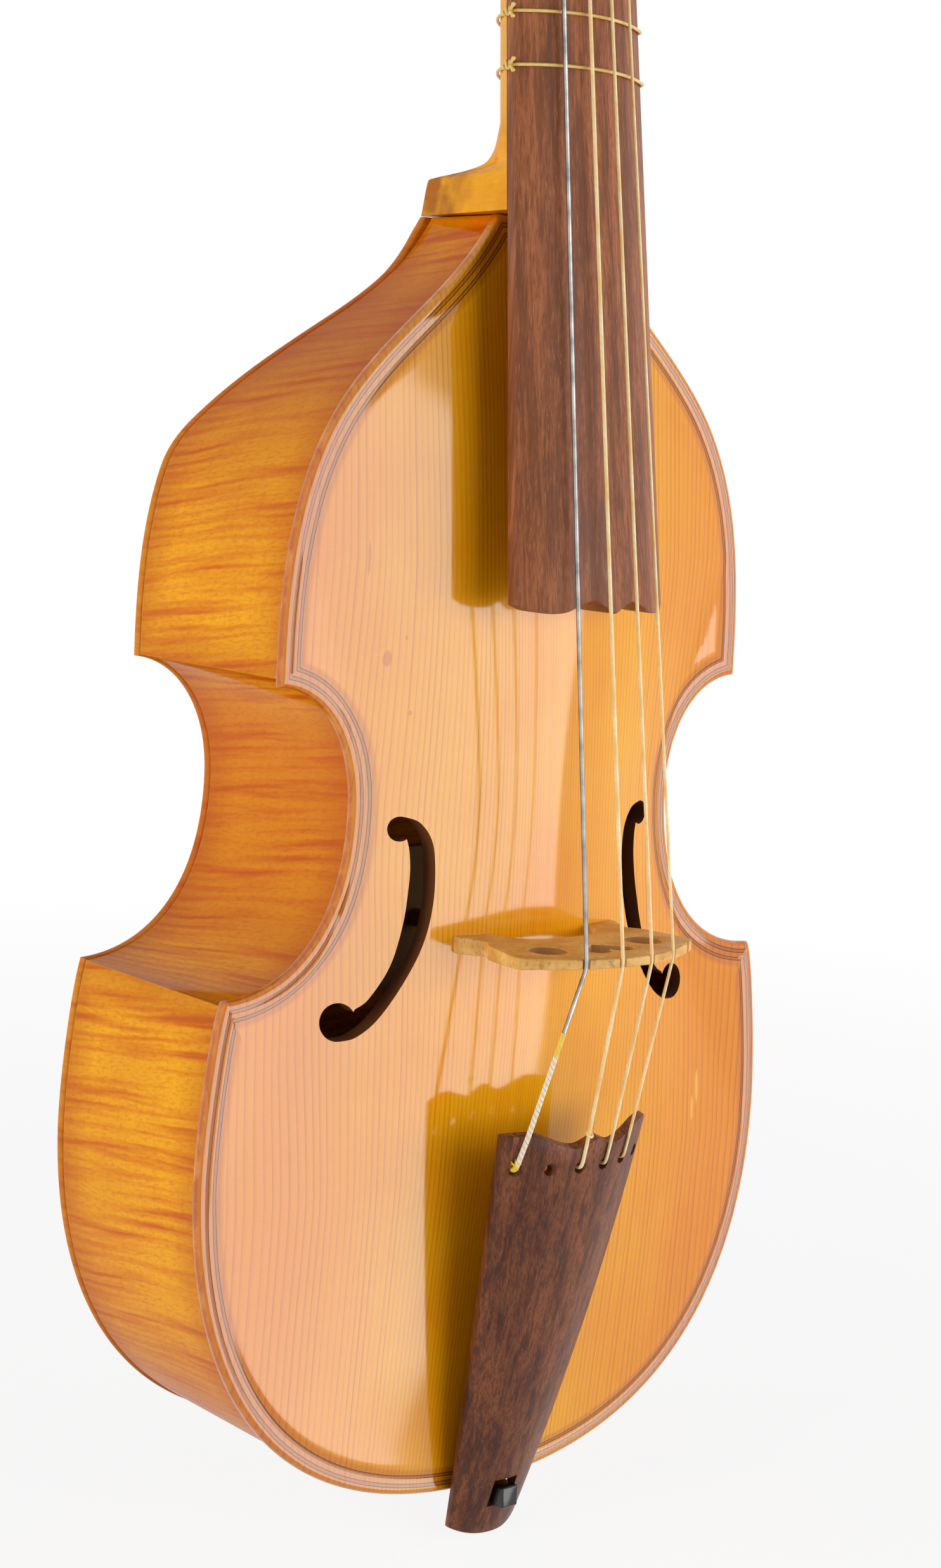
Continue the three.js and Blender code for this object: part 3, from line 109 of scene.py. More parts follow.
def operator(kind, swapped=False):
    """What a Value does when it meets a plus, a minus, a times and so on."""
    def combine(self, other):
        return self.bench.math(kind, *((other, self) if swapped else (self, other)))
    return combine


class Value:
    """One number in a node tree, which can be added, multiplied and compared."""

    def __init__(self, bench, socket):
        self.bench = bench
        self.socket = socket

    __add__ = __radd__ = operator("ADD")
    __mul__ = __rmul__ = operator("MULTIPLY")
    __sub__, __rsub__ = operator("SUBTRACT"), operator("SUBTRACT", swapped=True)
    __truediv__, __rtruediv__ = operator("DIVIDE"), operator("DIVIDE", swapped=True)
    __pow__ = operator("POWER")

    def size(self):
        return self.bench.math("ABSOLUTE", self)

    def fraction(self):
        return self.bench.math("FRACT", self)

    def kept(self, low=0.0, high=1.0):
        return self.bench.math("MINIMUM", self.bench.math("MAXIMUM", self, low), high)

    def between(self, low, high, soft):
        """One inside a band, nought outside, with edges as soft as asked."""
        return ((self - low) / soft).kept() * ((high - self) / soft).kept()

    def above(self, level, soft):
        """Nought below a level, rising to one over a soft stretch above it."""
        return ((self - level) / soft).kept()


print("a Value can be added, taken away, multiplied, divided and raised")

# %% [markdown]
# The second helper, a Bench, lays out one tree. Its node method makes any node, sets its
# options first and then feeds its sockets with numbers or with other Values. Its coats method
# lays colours over one another, as a varnisher would, each through a mask.

# %% Helpers for node trees


class Bench:
    """A node tree that is being laid out."""

    def __init__(self, tree):
        self.tree = tree

    def node(self, kind, sockets=None, **settings):
        node = self.tree.nodes.new(kind)
        for key, value in settings.items():
            setattr(node, key, value)
        for key, value in (sockets or {}).items():
            self.feed(node.inputs[key], value)
        return node

    def feed(self, socket, value):
        if isinstance(value, Value):
            self.tree.links.new(value.socket, socket)
        elif isinstance(value, bpy.types.NodeSocket):
            self.tree.links.new(value, socket)
        else:
            socket.default_value = value

    def math(self, operation, *values):
        node = self.node("ShaderNodeMath", dict(enumerate(values)), operation=operation)
        return Value(self, node.outputs[0])

    def vector(self, x, y, z):
        return self.node("ShaderNodeCombineXYZ", {0: x, 1: y, 2: z}).outputs[0]

    def place(self):
        """Where a point lies on the instrument, in millimetres."""
        source = self.node("ShaderNodeTexCoord").outputs["Object"]
        parts = self.node("ShaderNodeSeparateXYZ", {0: source}).outputs
        return [Value(self, part) * (1 / MM) for part in parts]

    def attribute(self, name):
        node = self.node("ShaderNodeAttribute", attribute_name=name)
        return Value(self, node.outputs["Fac"])

    def noise(self, x, y, z, detail=2.0, roughness=0.5, distortion=0.0):
        """Cloudy numbers near a half, for a point already divided by the size of its clouds."""
        node = self.node("ShaderNodeTexNoise", {
            "Vector": self.vector(x, y, z), "Scale": 1.0, "Detail": detail,
            "Roughness": roughness, "Distortion": distortion})
        return Value(self, node.outputs[0])

    def coats(self, colour, *layers):
        """Lays colours over a first one, each as densely as its own mask says."""
        for mask, over in layers:
            node = self.node("ShaderNodeMix", {0: mask, 6: colour, 7: over}, data_type="RGBA")
            colour = node.outputs[2]
        return colour


def new_finish(name):
    material = bpy.data.materials.new(name)
    material.use_nodes = True
    material.node_tree.nodes.clear()
    bench = Bench(material.node_tree)
    bench.material = material
    return bench


def paint(red, green, blue):
    """A colour as a painter reads it, from 0 to 255, turned into light."""
    def light(value):
        share = value / 255
        return share / 12.92 if share <= 0.04045 else ((share + 0.055) / 1.055) ** 2.4
    return (light(red), light(green), light(blue), 1.0)


print("helpers ready")

# %% [markdown]
# The light is a plain studio: a wide soft light in front, which the varnish mirrors as a pale
# sheen, a smaller one at each side, which mirrored rays don't see, and an even glow from all
# round. The floor and the sky look white to the camera and to anything shiny, but light the
# instrument only at a plain level. Strength is set as brightness, and the lamp's power follows
# from its area. All of this is larger than the instrument, so it is measured in metres.

# %% Light, sky and floor
sky_level = 0.12
lamps = {
    "front_light": {"turn": 17, "lift": -0.2, "distance": 1.5, "size": (1.5, 1.35), "level": 3.9},
    "bass_light": {"turn": -98, "lift": 0.25, "distance": 1.3, "size": (1.1, 1.1), "level": 4.0},
    "treble_light": {"turn": 62, "lift": 0.3, "distance": 1.5, "size": (0.9, 1.1), "level": 3.0},
}
mirrored_lamp = "front_light"
floor_gap = 0.0005
floor_half = 4.0
floor_white = 1.0
paper_colour = (0.9, 0.9, 0.9, 1)
shadow_share = 0.12
shadow_reach = 1.0


def softbox(name, turn, lift, distance, size, level):
    """A soft lamp on a circle round the body; the turn is counted from straight in front."""
    lamp = bpy.data.lights.new(name, "AREA")
    lamp.shape = "RECTANGLE"
    lamp.size, lamp.size_y = size
    lamp.energy = level * pi * size[0] * size[1]
    holder = bpy.data.objects.new(name, lamp)
    angle = radians(turn)
    holder.location = (distance * sin(angle), -distance * cos(angle), lift)
    aim = Vector((0, 0, lift)) - holder.location
    holder.rotation_euler = aim.to_track_quat("-Z", "Z").to_euler()
    holder.visible_camera = False
    holder.visible_glossy = name == mirrored_lamp
    bpy.context.collection.objects.link(holder)


def white_to_the_camera(bench):
    """One for a ray from the camera, or one that was mirrored or let through."""
    path = bench.node("ShaderNodeLightPath")
    seen = [Value(bench, path.outputs[kind])
            for kind in ("Is Camera Ray", "Is Glossy Ray", "Is Transmission Ray")]
    return (seen[0] + seen[1] + seen[2]).kept()


def set_the_sky():
    world = bpy.data.worlds.new("sky")
    world.use_nodes = True
    world.node_tree.nodes.clear()
    bench = Bench(world.node_tree)
    seen = white_to_the_camera(bench)
    glow = bench.node("ShaderNodeBackground",
                      {0: (1, 1, 1, 1), 1: seen * (1 - sky_level) + sky_level})
    bench.node("ShaderNodeOutputWorld", {0: glow.outputs[0]})
    bpy.context.scene.world = world


def lay_the_floor():
    level = cad_bounds[0][2] - floor_gap
    corners = [(-floor_half, -floor_half, level), (floor_half, -floor_half, level),
               (floor_half, floor_half, level), (-floor_half, floor_half, level)]
    mesh = bpy.data.meshes.new("floor")
    mesh.from_pydata(corners, [], [(0, 1, 2, 3)])
    floor = bpy.data.objects.new("floor", mesh)
    bpy.context.collection.objects.link(floor)
    bench = new_finish("floor_paper")
    path = bench.node("ShaderNodeLightPath")
    camera_ray = Value(bench, path.outputs["Is Camera Ray"])
    x, y, z = bench.place()
    near = (1 - (x * x + y * y) / (shadow_reach / MM) ** 2).kept()
    mirrored = Value(bench, path.outputs["Is Glossy Ray"])
    paper = bench.node("ShaderNodeBsdfDiffuse", {0: paper_colour})
    white = bench.node("ShaderNodeEmission", {0: (1, 1, 1, 1), 1: floor_white})
    clear = bench.node("ShaderNodeBsdfTransparent")
    whitened = camera_ray * (1 - near * shadow_share)
    seen = bench.node("ShaderNodeMixShader",
                      {0: whitened, 1: paper.outputs[0], 2: white.outputs[0]})
    whole = bench.node("ShaderNodeMixShader",
                       {0: mirrored, 1: seen.outputs[0], 2: clear.outputs[0]})
    bench.node("ShaderNodeOutputMaterial", {0: whole.outputs[0]})
    mesh.materials.append(bench.material)


bpy.context.scene.view_settings.view_transform = "Standard"
for lamp_name, setting in lamps.items():
    softbox(lamp_name, **setting)
set_the_sky()
lay_the_floor()
print("lamps:", len(lamps), "and the floor at", round((cad_bounds[0][2] - floor_gap) / MM, 1), "mm")

# %% [markdown]
# A finish is the last coat of colour, gloss and fine relief on a piece. Every finish here ends
# in the same shader, so one helper makes it: a colour, a roughness, a relief of some hundredths
# of a millimetre, and, for varnished wood, a clear coat on top. Only the colour, the roughness
# and the relief change over a surface; all the rest is one plain number, the coat's too. What
# the varnish mirrors comes from the lamps, though some colours below are painted highlight and
# shade.

# %% Helpers for finishes
belly_gloss = {"Coat Weight": 0.9, "Coat Roughness": 0.09, "Coat IOR": 1.58,
               "Specular IOR Level": 0.04}
side_gloss = {"Coat Weight": 0.34, "Coat Roughness": 0.1, "Coat IOR": 1.5,
              "Specular IOR Level": 0.0}


def finish_with(bench, colour, roughness, height, relief, plain=None):
    """Colour, roughness and relief in mm, and any plain numbers of the shader by their names."""
    bump = bench.node("ShaderNodeBump",
                      {"Strength": 1.0, "Distance": relief * MM, "Height": height})
    sockets = {"Base Color": colour, "Roughness": roughness, "Normal": bump.outputs[0]}
    shader = bench.node("ShaderNodeBsdfPrincipled", {**sockets, **(plain or {})})
    bench.node("ShaderNodeOutputMaterial", {0: shader.outputs[0]})
    return bench.material


print("finish helpers ready")

# %% [markdown]
# The belly is spruce. Two halves are joined at the centre, and their year rings show as fine
# upright lines, close together in the middle and wider at the flanks. A line is pale on one
# side and ends in a sharp dark edge, so the pattern is a saw wave, not a sine. The varnish
# sinks between the lines, and this fine ribbing breaks up whatever it mirrors. Two bands of
# inlay run round the edge. The distance from the edge is stored on the mesh, so that they
# turn the corners as mitred strips do. The same distance places the rim, which is pale wear
# mixed with a painted highlight, and a painted shade on the edge's side and underside. Both
# flanks are painted a deeper orange, a painted shade where the sheen is weaker. A worn mark
# is given as its place across, its place upward, and half its width and height.

# %% Finish of the belly
ring_spacing_middle = 0.95
ring_spacing_growth = 0.021
outer_inlay = (2.3, 3.65)
inner_inlay = (5.0, 6.2)
inlay_line = 0.28
inlay_blur = 0.06
front_face = -76
# Where the painted shade on the flanks begins, and how far it takes to reach full strength.
shaded_flank_start, shaded_flank_reach = 35, 45
rim_shade_end = 8.5
dark_marks = [(-53.8, 82.7, 1.6, 2.6), (-61.4, 110.8, 0.5, 5.5), (-45.8, 67.3, 0.7, 0.8),
              (-48.5, 88.6, 0.5, 0.8)]
pale_marks = [(79.3, -56.0, 0.7, 6.0), (76.9, -62.6, 0.6, 4.5)]


def inlay_bands(edge):
    """Dark lines and the pale wood between them, for the two inlaid strips."""
    dark, pale = 0.0, 0.0
    for start, end in (outer_inlay, inner_inlay):
        dark = dark + edge.between(start, start + inlay_line, inlay_blur) \
            + edge.between(end - inlay_line, end, inlay_blur)
        pale = pale + edge.between(start, end, 0.08)
    return dark.kept(), pale.kept()


def year_rings(bench, x, z):
    """Late wood, dark at the end of each ring; the rings grow wider away from the joint."""
    drift = bench.noise(x / 45, 0.3, z / 120, detail=1.0) - 0.5
    across = (x + drift * 5).size()
    rings = bench.math("LOGARITHM", across * ring_spacing_growth + 1, exp(1))
    rings = rings * (1 / (ring_spacing_growth * ring_spacing_middle))
    saw = (rings + bench.noise(x / 7, 4.0, z / 260, detail=1.0) * 0.8).fraction()
    return saw ** 4 * (1 - saw.above(0.97, 0.03))


def worn_spots(place, marks):
    """One mask for each mark, on the front only."""
    x, y, z = place
    front = 1 - y.above(front_face, 1)
    for mark_x, mark_z, half_wide, half_tall in marks:
        reach = ((x - mark_x) / half_wide) ** 2 + ((z - mark_z) / half_tall) ** 2
        yield (1 - reach.above(0.45, 0.6)) * front


def belly_finish():
    bench = new_finish("belly_spruce")
    x, y, z = place = bench.place()
    edge = bench.attribute("from_edge")
    late_wood = year_rings(bench, x, z)
    strength = bench.noise(x / 2.6, 8.0, z / 300, detail=1.0) * 1.3 - 0.1
    fibre = bench.noise(x / 0.35, 0.0, z / 9, detail=3.0)
    silk = bench.noise(x / 5, 2.0, z / 1.1, detail=3.0)
    clouds = bench.noise(x / 28, y / 28, z / 40, detail=3.0)
    rubbed = bench.noise(x / 6, y / 6, z / 6, detail=3.0)
    # Both flanks are painted a deeper orange: a painted shade where the sheen on the varnish is
    # weaker.
    flank = x.size().above(shaded_flank_start, shaded_flank_reach)
    dark_inlay, pale_inlay = inlay_bands(edge)
    colour = bench.coats(
        paint(246, 174, 14),
        (clouds.above(0.3, 0.45), paint(240, 154, 8)),
        (flank * 0.75, paint(232, 132, 6)),
        ((late_wood * strength).kept(0, 0.8), paint(176, 76, 8)),
        (fibre.above(0.52, 0.3) * 0.22, paint(190, 96, 14)),
        (silk.above(0.58, 0.2) * 0.16, paint(244, 168, 58)),
        *((spot * 0.5, paint(190, 84, 20)) for spot in worn_spots(place, dark_marks)),
        *((spot * 0.75, paint(250, 190, 84)) for spot in worn_spots(place, pale_marks)),
        (edge.between(-1, rim_shade_end, 1.2) * 0.35, paint(170, 70, 6)),
        (pale_inlay * 0.5, paint(150, 84, 34)),
        (dark_inlay * 0.95, paint(44, 20, 10)),
        # The side and underside of the rounded edge are painted darker: a painted shade next to the
        # rib.
        ((1 - edge.above(0.05, 0.35)) * 0.55, paint(172, 66, 4)),
        # Pale patches on the rounded edge: partly wear, partly a painted highlight along the edge.
        ((1 - edge.above(0.3, 0.5)) * rubbed.above(0.46, 0.2) * 0.4, paint(243, 172, 80)))
    height = late_wood * -0.35 + fibre * 0.25 + silk * 0.1 - dark_inlay * 0.6
    return finish_with(bench, colour, 0.34 + clouds * 0.12, height, 0.035, belly_gloss)


spruce = belly_finish()
print("belly finish:", len(spruce.node_tree.nodes), "nodes")

# %% [markdown]
# Ribs, back and neck are flamed maple. The flame is a shimmer of bands that lie across the
# grain, because the fibres of the tree grew in waves. The grain itself shows as fine lines
# along the wood. On a rib the grain follows the bend, so the rib's mesh carries a distance
# measured along it, and on the back and the neck the grain runs with the height. The colour
# is painted browner at the shoulders, the waist and the lower end.

# %% Finish of ribs, back and neck
golden = paint(250, 172, 12)
amber = paint(220, 108, 0)
brown_varnish = paint(150, 52, 4)
pale_maple = paint(244, 180, 70)
dark_amber = paint(186, 76, 4)
brown_shoulders, shoulders_end = (100, 80), (184, 22)
brown_waist = (-14, 76, 14)
golden_above = (-150, 55)


def flame(bench, along, across, width):
    """Bands across the grain: wide ones, and narrow ones that fill them, all broken up."""
    lean = bench.noise(across / 60, 0.0, along / 60, detail=1.0) * 5
    shiver = bench.noise(across / 6, 5.0, along / 9, detail=2.0) * 0.9
    wide = bench.noise((along + lean) / (width * 1.5), 0.0, across / 130, detail=1.0)
    narrow = bench.noise((along + lean + shiver) / (width * 0.5), 3.0, across / 45, detail=1.5)
    return wide * 0.4 + narrow * 0.6


def worn_and_shaded_rim(bench, colour, place):
    """A rubbed pale edge, a painted shade in a band inside it, and a browner colour at three
    heights.
    """
    x, y, z = place
    rim = bench.attribute("from_edge")
    rubbed = bench.noise(x / 5, y / 5, z / 5, detail=3.0)
    wear = (1 - rim.above(0.35, 0.5)) * (rubbed * 0.6 + 0.3)
    shoulders = z.above(*brown_shoulders) * (1 - z.above(*shoulders_end) * 0.7)
    middle = z.between(*brown_waist) * 0.7
    low = (1 - z.above(*golden_above)) * 0.8
    return bench.coats(colour, (wear.kept() * 0.4, pale_maple),
                       # A band inside each edge is painted darker: a painted shade where ribs and
                       # plates meet.
                       ((1 - rim.above(1, 13)) * 0.45, paint(176, 72, 2)),
                       ((shoulders + middle + low).kept() * 0.7, dark_amber))


def maple_finish(name, source, width, worn):
    bench = new_finish(name)
    x, y, z = bench.place()
    along, across = source(bench, x, y, z)
    bands = flame(bench, along, across, width)
    fibres = bench.noise(along / 26, 1.0, across / 0.45, detail=3.0)
    pores = bench.noise(along / 1.6, 6.0, across / 0.5, detail=2.0)
    clouds = bench.noise(x / 60, y / 60, z / 60, detail=2.0)
    crackle = bench.noise(along / 0.8, 8.0, across / 3, detail=2.5, roughness=0.6)
    colour = bench.coats(
        amber,
        (bands.above(0.36, 0.2), golden),
        ((1 - bands.above(0.34, 0.12)) * 0.2, brown_varnish),
        ((1 - crackle.above(0.36, 0.16)) * 0.3, paint(176, 84, 4)),
        (fibres.above(0.5, 0.25) * 0.3, amber),
        (pores.above(0.6, 0.15) * 0.3, brown_varnish),
        (clouds.above(0.42, 0.3) * 0.35, paint(204, 112, 30)))
    colour = worn(bench, colour, (x, y, z))
    height = fibres * 0.5 + pores * 0.3 + bands * 0.25
    return finish_with(bench, colour, 0.3 + clouds * 0.14, height, 0.03, side_gloss)


def grain_along_the_rib(bench, x, y, z):
    return bench.attribute("along") - y * 0.14, y


def grain_upright(bench, x, y, z):
    return z, x + y * 0.5


rib_maple = maple_finish("rib_maple", grain_along_the_rib, 4.2, worn_and_shaded_rim)
back_maple = maple_finish("back_maple", grain_upright, 5.0, worn_and_shaded_rim)
print("maple finishes ready")

# %% [markdown]
# The neck is the same maple, but players' hands and age have changed it. The varnish of the
# heel has gone patchy, with darker brown patches in the corner by the back, and the edges and
# the whole grip are rubbed down to pale wood.

# %% Finish of the neck
heel_top = 233
heel_back = 57
heel_foot = 200
grip_end = 352


def hands_on_the_neck(bench, colour, place):
    x, y, z = place
    patches = bench.noise(x / 5, y / 3.2, z / 6, detail=4.0, roughness=0.6)
    streaks = bench.noise(x / 1.1, y / 1.1, z / 8, detail=3.0)
    blotches = bench.noise(x / 11, y / 9, z / 9, detail=3.0)
    grip = z.above(heel_top - 10, 22) * (1 - z.above(grip_end, 14))
    heel = z.above(heel_foot, 4) * (1 - z.above(262, 20))
    corner = (1 - (y * -1).above(heel_back, 14)) * (1 - z.above(heel_top - 2, 12)) \
        * z.above(heel_foot + 4, 2)
    return bench.coats(
        colour,
        (heel * 0.6, paint(240, 166, 10)),
        (grip * (0.35 + patches * 0.5), paint(232, 182, 98)),
        (corner * blotches.above(0.3, 0.3) * 0.75, paint(128, 50, 6)),
        (blotches.above(0.5, 0.2) * (1 - grip) * 0.35, paint(214, 116, 4)),
        (streaks.above(0.62, 0.12) * grip * 0.3, paint(128, 70, 24)))


neck_maple = maple_finish("neck_maple", grain_upright, 9.0, hands_on_the_neck)
print("neck finish ready")

# %% [markdown]
# Fingerboard, tailpiece and pegs are a brown rosewood, oiled and left without varnish. Broad
# soft bands of lighter and darker brown run with the grain, and over them lie fine pores, pale
# and dark, and a few black streaks. The same recipe serves all three; only the direction of
# the grain differs. The tailpiece is darker than the fingerboard, and the fingerboard is a
# little lighter towards the nut.

# %% Finish of fingerboard, tailpiece and pegs
darker_below = (-60, 20)
lighter_above = (90, 10)


def rosewood_finish(name, source):
    bench = new_finish(name)
    x, y, z = bench.place()
    along, across, depth = source(x, y, z)
    across = across + bench.noise(along / 160, 0.0, across / 40, detail=1.0) * 8
    broad = bench.noise(across / 6, depth / 9, along / 260, detail=2.0)
    thin = bench.noise(across / 0.8, depth / 1.2, along / 70, detail=2.0)
    pores = bench.noise(across / 0.3, depth / 0.4, along / 20, detail=1.5)
    streaks = bench.noise(across / 2.2, depth / 5, along / 130, detail=2.0, roughness=0.6)
    colour = bench.coats(
        paint(94, 47, 26),
        (broad.above(0.36, 0.26), paint(164, 98, 62)),
        (thin.above(0.48, 0.24) * 0.5, paint(172, 108, 68)),
        ((1 - thin.above(0.38, 0.12)) * 0.5, paint(72, 36, 20)),
        (pores.above(0.6, 0.1) * 0.4, paint(190, 132, 88)),
        ((1 - pores.above(0.38, 0.06)) * 0.55, paint(48, 24, 14)),
        ((1 - streaks.above(0.4, 0.08)) * 0.6, paint(38, 18, 12)),
        ((1 - z.above(*darker_below)) * 0.5, paint(62, 22, 8)),
        (z.above(*lighter_above) * 0.25, paint(186, 112, 70)))
    return finish_with(bench, colour, 0.4 + broad * 0.16, pores * 0.6 + thin * 0.4, 0.05,
                       {"Specular IOR Level": 0.3})


board_rosewood = rosewood_finish("board_rosewood", lambda x, y, z: (z, x, y))
peg_rosewood = rosewood_finish("peg_rosewood", lambda x, y, z: (x, z, y))
print("rosewood finishes ready")

# %% [markdown]
# The bridge is plain maple cut so that its face shows the rays of the tree as short brown
# flecks. It has no varnish, only a little polish. The wood inside the body is raw spruce and
# willow. Hook and nut are ebony and bone, dense enough to take a high polish.

# %% Finishes of bridge, inner wood, hook and nut


def bridge_finish():
    bench = new_finish("bridge_maple")
    x, y, z = bench.place()
    flecks = bench.noise(x / 1.7, y / 0.75, z / 1.5, detail=3.0, roughness=0.6, distortion=0.4)
    cloud = bench.noise(x / 9, y / 7, z / 4, detail=2.0)
    lines = bench.noise(x / 14, y / 0.6, z / 9, detail=2.0)
    ink = bench.noise(x / 5, y / 3, z / 3, detail=4.0, roughness=0.65)
    colour = bench.coats(
        paint(212, 154, 74),
        (cloud.above(0.35, 0.3), paint(236, 188, 106)),
        (lines.above(0.5, 0.2) * 0.35, paint(184, 136, 70)),
        (flecks.above(0.57, 0.08) * 0.55, paint(146, 96, 44)),
        (ink.above(0.62, 0.1) * 0.4, paint(150, 108, 62)))
    return finish_with(bench, colour, 0.5 + cloud * 0.1, flecks * 0.5 + lines * 0.5, 0.05)


def inner_finish(name, light, dark):
    bench = new_finish(name)
    x, y, z = bench.place()
    lines = bench.noise(x / 0.9, y / 0.9, z / 40, detail=3.0)
    cloud = bench.noise(x / 20, y / 20, z / 20, detail=2.0)
    colour = bench.coats(light, (cloud, dark), (lines.above(0.5, 0.2) * 0.4, dark))
    return finish_with(bench, colour, 0.75 + lines * 0.1, lines, 0.08)


def polished(name, dark, light, roughness):
    """Ebony and bone: an even colour with faint fibres, and a high polish."""
    bench = new_finish(name)
    x, y, z = bench.place()
    fibres = bench.noise(x / 6, y / 0.6, z / 0.6, detail=3.0)
    colour = bench.coats(dark, (fibres.above(0.35, 0.3), light))
    return finish_with(bench, colour, roughness + fibres * 0.08, fibres, 0.02)


bridge_maple = bridge_finish()
inner_wood = inner_finish("inner_wood", paint(196, 152, 98), paint(168, 122, 72))
# The sawn walls are darker than the face: browner sawn wood with a painted shade inside the
# openings.
sawn_maple = inner_finish("sawn_maple", paint(190, 134, 74), paint(146, 96, 48))
cut_wood = inner_finish("cut_wood", paint(120, 66, 24), paint(92, 48, 16))
ebony = polished("ebony", paint(10, 9, 9), paint(24, 21, 20), 0.14)
bone = polished("nut_bone", paint(222, 206, 170), paint(238, 228, 204), 0.28)
print("small finishes ready")

# %% [markdown]
# Gut is twisted and dried: it is yellow, slightly clear, and shows a faint screw of strands.
# A screw needs to know how far along a string a point lies and how far round it, so each
# string's mesh carries both. The lowest string has a gut core wound with silver wire, which
# is the same screw, only much finer and bright.

# %% Finishes of the strings and frets
gut_lay = 2.2
wire_pitch = 0.22
silk_lay = 3.4
silk_thread = 0.36
silk_ends = (7, -60)


def round_the_string(bench):
    """The way round a string, from nought to one, from its stored sine and cosine."""
    turn = bench.math("ARCTAN2", bench.attribute("around_sine"), bench.attribute("around_cosine"))
    return turn * (0.5 / pi)


def screw(bench, pitch):
    """Turns of a screw that winds along a string, counted from its start."""
    return bench.attribute("along") / pitch + round_the_string(bench)


def gut_finish(name, pale, deep):
    bench = new_finish(name)
    ridge = screw(bench, gut_lay).fraction().between(0.0, 1.0, 0.35)
    cloud = bench.noise(bench.attribute("along") / 14, 0.0, 0.0, detail=3.0)
    colour = bench.coats(pale, (cloud.above(0.35, 0.3), deep), ((1 - ridge) * 0.25, deep))
    return finish_with(bench, colour, 0.34 + cloud * 0.1, ridge, 0.04,
                       {"Subsurface Weight": 0.2, "Subsurface Scale": 0.4 * MM})


def silver_finish():
    bench = new_finish("silver_wire")
    wire = screw(bench, wire_pitch).fraction().between(0.0, 1.0, 0.5)
    tarnish = bench.noise(bench.attribute("along") / 9, 0.0, 0.0, detail=3.0)
    colour = bench.coats(paint(190, 189, 186), (tarnish.above(0.4, 0.3), paint(116, 117, 120)))
    return finish_with(bench, colour, 0.24 + tarnish * 0.1, wire, 0.05, {"Metallic": 1.0})


def silk_finish():
    bench = new_finish("silk_wrap")
    along, z = bench.attribute("along"), bench.place()[2]
    turn = screw(bench, silk_lay)
    yellow = turn.fraction().between(0.0, 0.34, 0.05)
    red = (turn + 0.42).fraction().between(0.0, 0.14, 0.04)
    thread = screw(bench, silk_thread).fraction().between(0.0, 1.0, 0.4)
    ends = ((1 - along.above(silk_ends[0], 1)) + (1 - z.above(silk_ends[1], 1.5))) * 0.85
    colour = bench.coats(
        paint(255, 250, 236),
        (yellow * 0.6, paint(240, 206, 70)),
        (red * 0.6, paint(196, 110, 60)),
        (bench.math("MAXIMUM", bench.attribute("tuft"), ends.kept()), paint(250, 214, 16)))
    return finish_with(bench, colour, 0.62 + thread * 0.1, thread, 0.08)


gut = gut_finish("gut", paint(255, 240, 196), paint(242, 202, 124))
fret_gut = gut_finish("fret_gut", paint(246, 218, 138), paint(214, 170, 84))
silver_wire = silver_finish()
silk = silk_finish()
print("string finishes ready")

# %% [markdown]
# Belly, back and ribs all follow one outline, which the maker draws as a few arcs from the
# neck round to the bottom. Each arc is a curve between two named points, and its two handles
# are given as shares of the arc's own width and height.

# %% The outline
neck_joint = (18.7, 208.2)
shoulder = (64.6, 159.6)
upper_corner = (87.3, 74.9)
waist = (60.8, 40.0)
lower_corner = (101.6, -11.6)
lower_bout = (108.4, -64.0)
bottom = (0.0, -171.8)
arcs = [
    ("upper", neck_joint, shoulder, (0.243, 0.409, 0.663, 0.63), 30),
    ("upper", shoulder, upper_corner, (0.931, 0.289, 1.008, 0.649), 44),
    ("waist", upper_corner, waist, (0.569, 0.025, 1.0, 0.417), 34),
    ("waist", waist, lower_corner, (0.0, 0.61, 0.392, 0.984), 36),
    ("lower", lower_corner, lower_bout, (0.348, 0.039, 1.0, 0.672), 26),
    ("lower", lower_bout, bottom, (0.0, 0.598, 0.331, 1.0), 56),
]


def mix(a, b, share):
    return a + (b - a) * share


def share_of(value, low, high):
    return (value - low) / (high - low)


def kept(value, low=0.0, high=1.0):
    return min(max(value, low), high)


def arc_points(start, end, handles, steps):
    (x0, z0), (x3, z3) = start, end
    x1, z1 = mix(x0, x3, handles[0]), mix(z0, z3, handles[1])
    x2, z2 = mix(x0, x3, handles[2]), mix(z0, z3, handles[3])
    points = []
    for step in range(steps + 1):
        t = step / steps
        a, b, c, d = (1 - t) ** 3, 3 * t * (1 - t) ** 2, 3 * t * t * (1 - t), t ** 3
        points.append(Vector((a * x0 + b * x1 + c * x2 + d * x3,
                              a * z0 + b * z1 + c * z2 + d * z3)))
    return points


def side_runs():
    """The three runs of one half, each from corner to corner, with the treble side's signs."""
    runs = {"upper": [], "waist": [], "lower": []}
    for name, start, end, handles, steps in arcs:
        points = arc_points(start, end, handles, steps)
        runs[name].extend(points if not runs[name] else points[1:])
    return runs


runs = side_runs()
half_line = runs["upper"] + runs["waist"][1:] + runs["lower"][1:]
half_heights = [-point.y for point in half_line]


def half_width(z):
    """Half the width of the outline at a height."""
    i = bisect.bisect_left(half_heights, -z)
    if i <= 0:
        return half_line[0].x
    if i >= len(half_line):
        return 0.0
    a, b = half_line[i - 1], half_line[i]
    return mix(a.x, b.x, share_of(z, a.y, b.y)) if a.y != b.y else b.x


print("outline:", len(half_line), "points on a half; corner at", tuple(upper_corner))

# %% [markdown]
# Ribs, inlay and the rounding of the edges follow the outline at a distance. A line that is
# drawn in must not cross itself in the corners, so points that pass a corner's dividing line
# are set back onto it, as a mitre is cut.

# %% Lines drawn in from the outline
corner_watch = 25


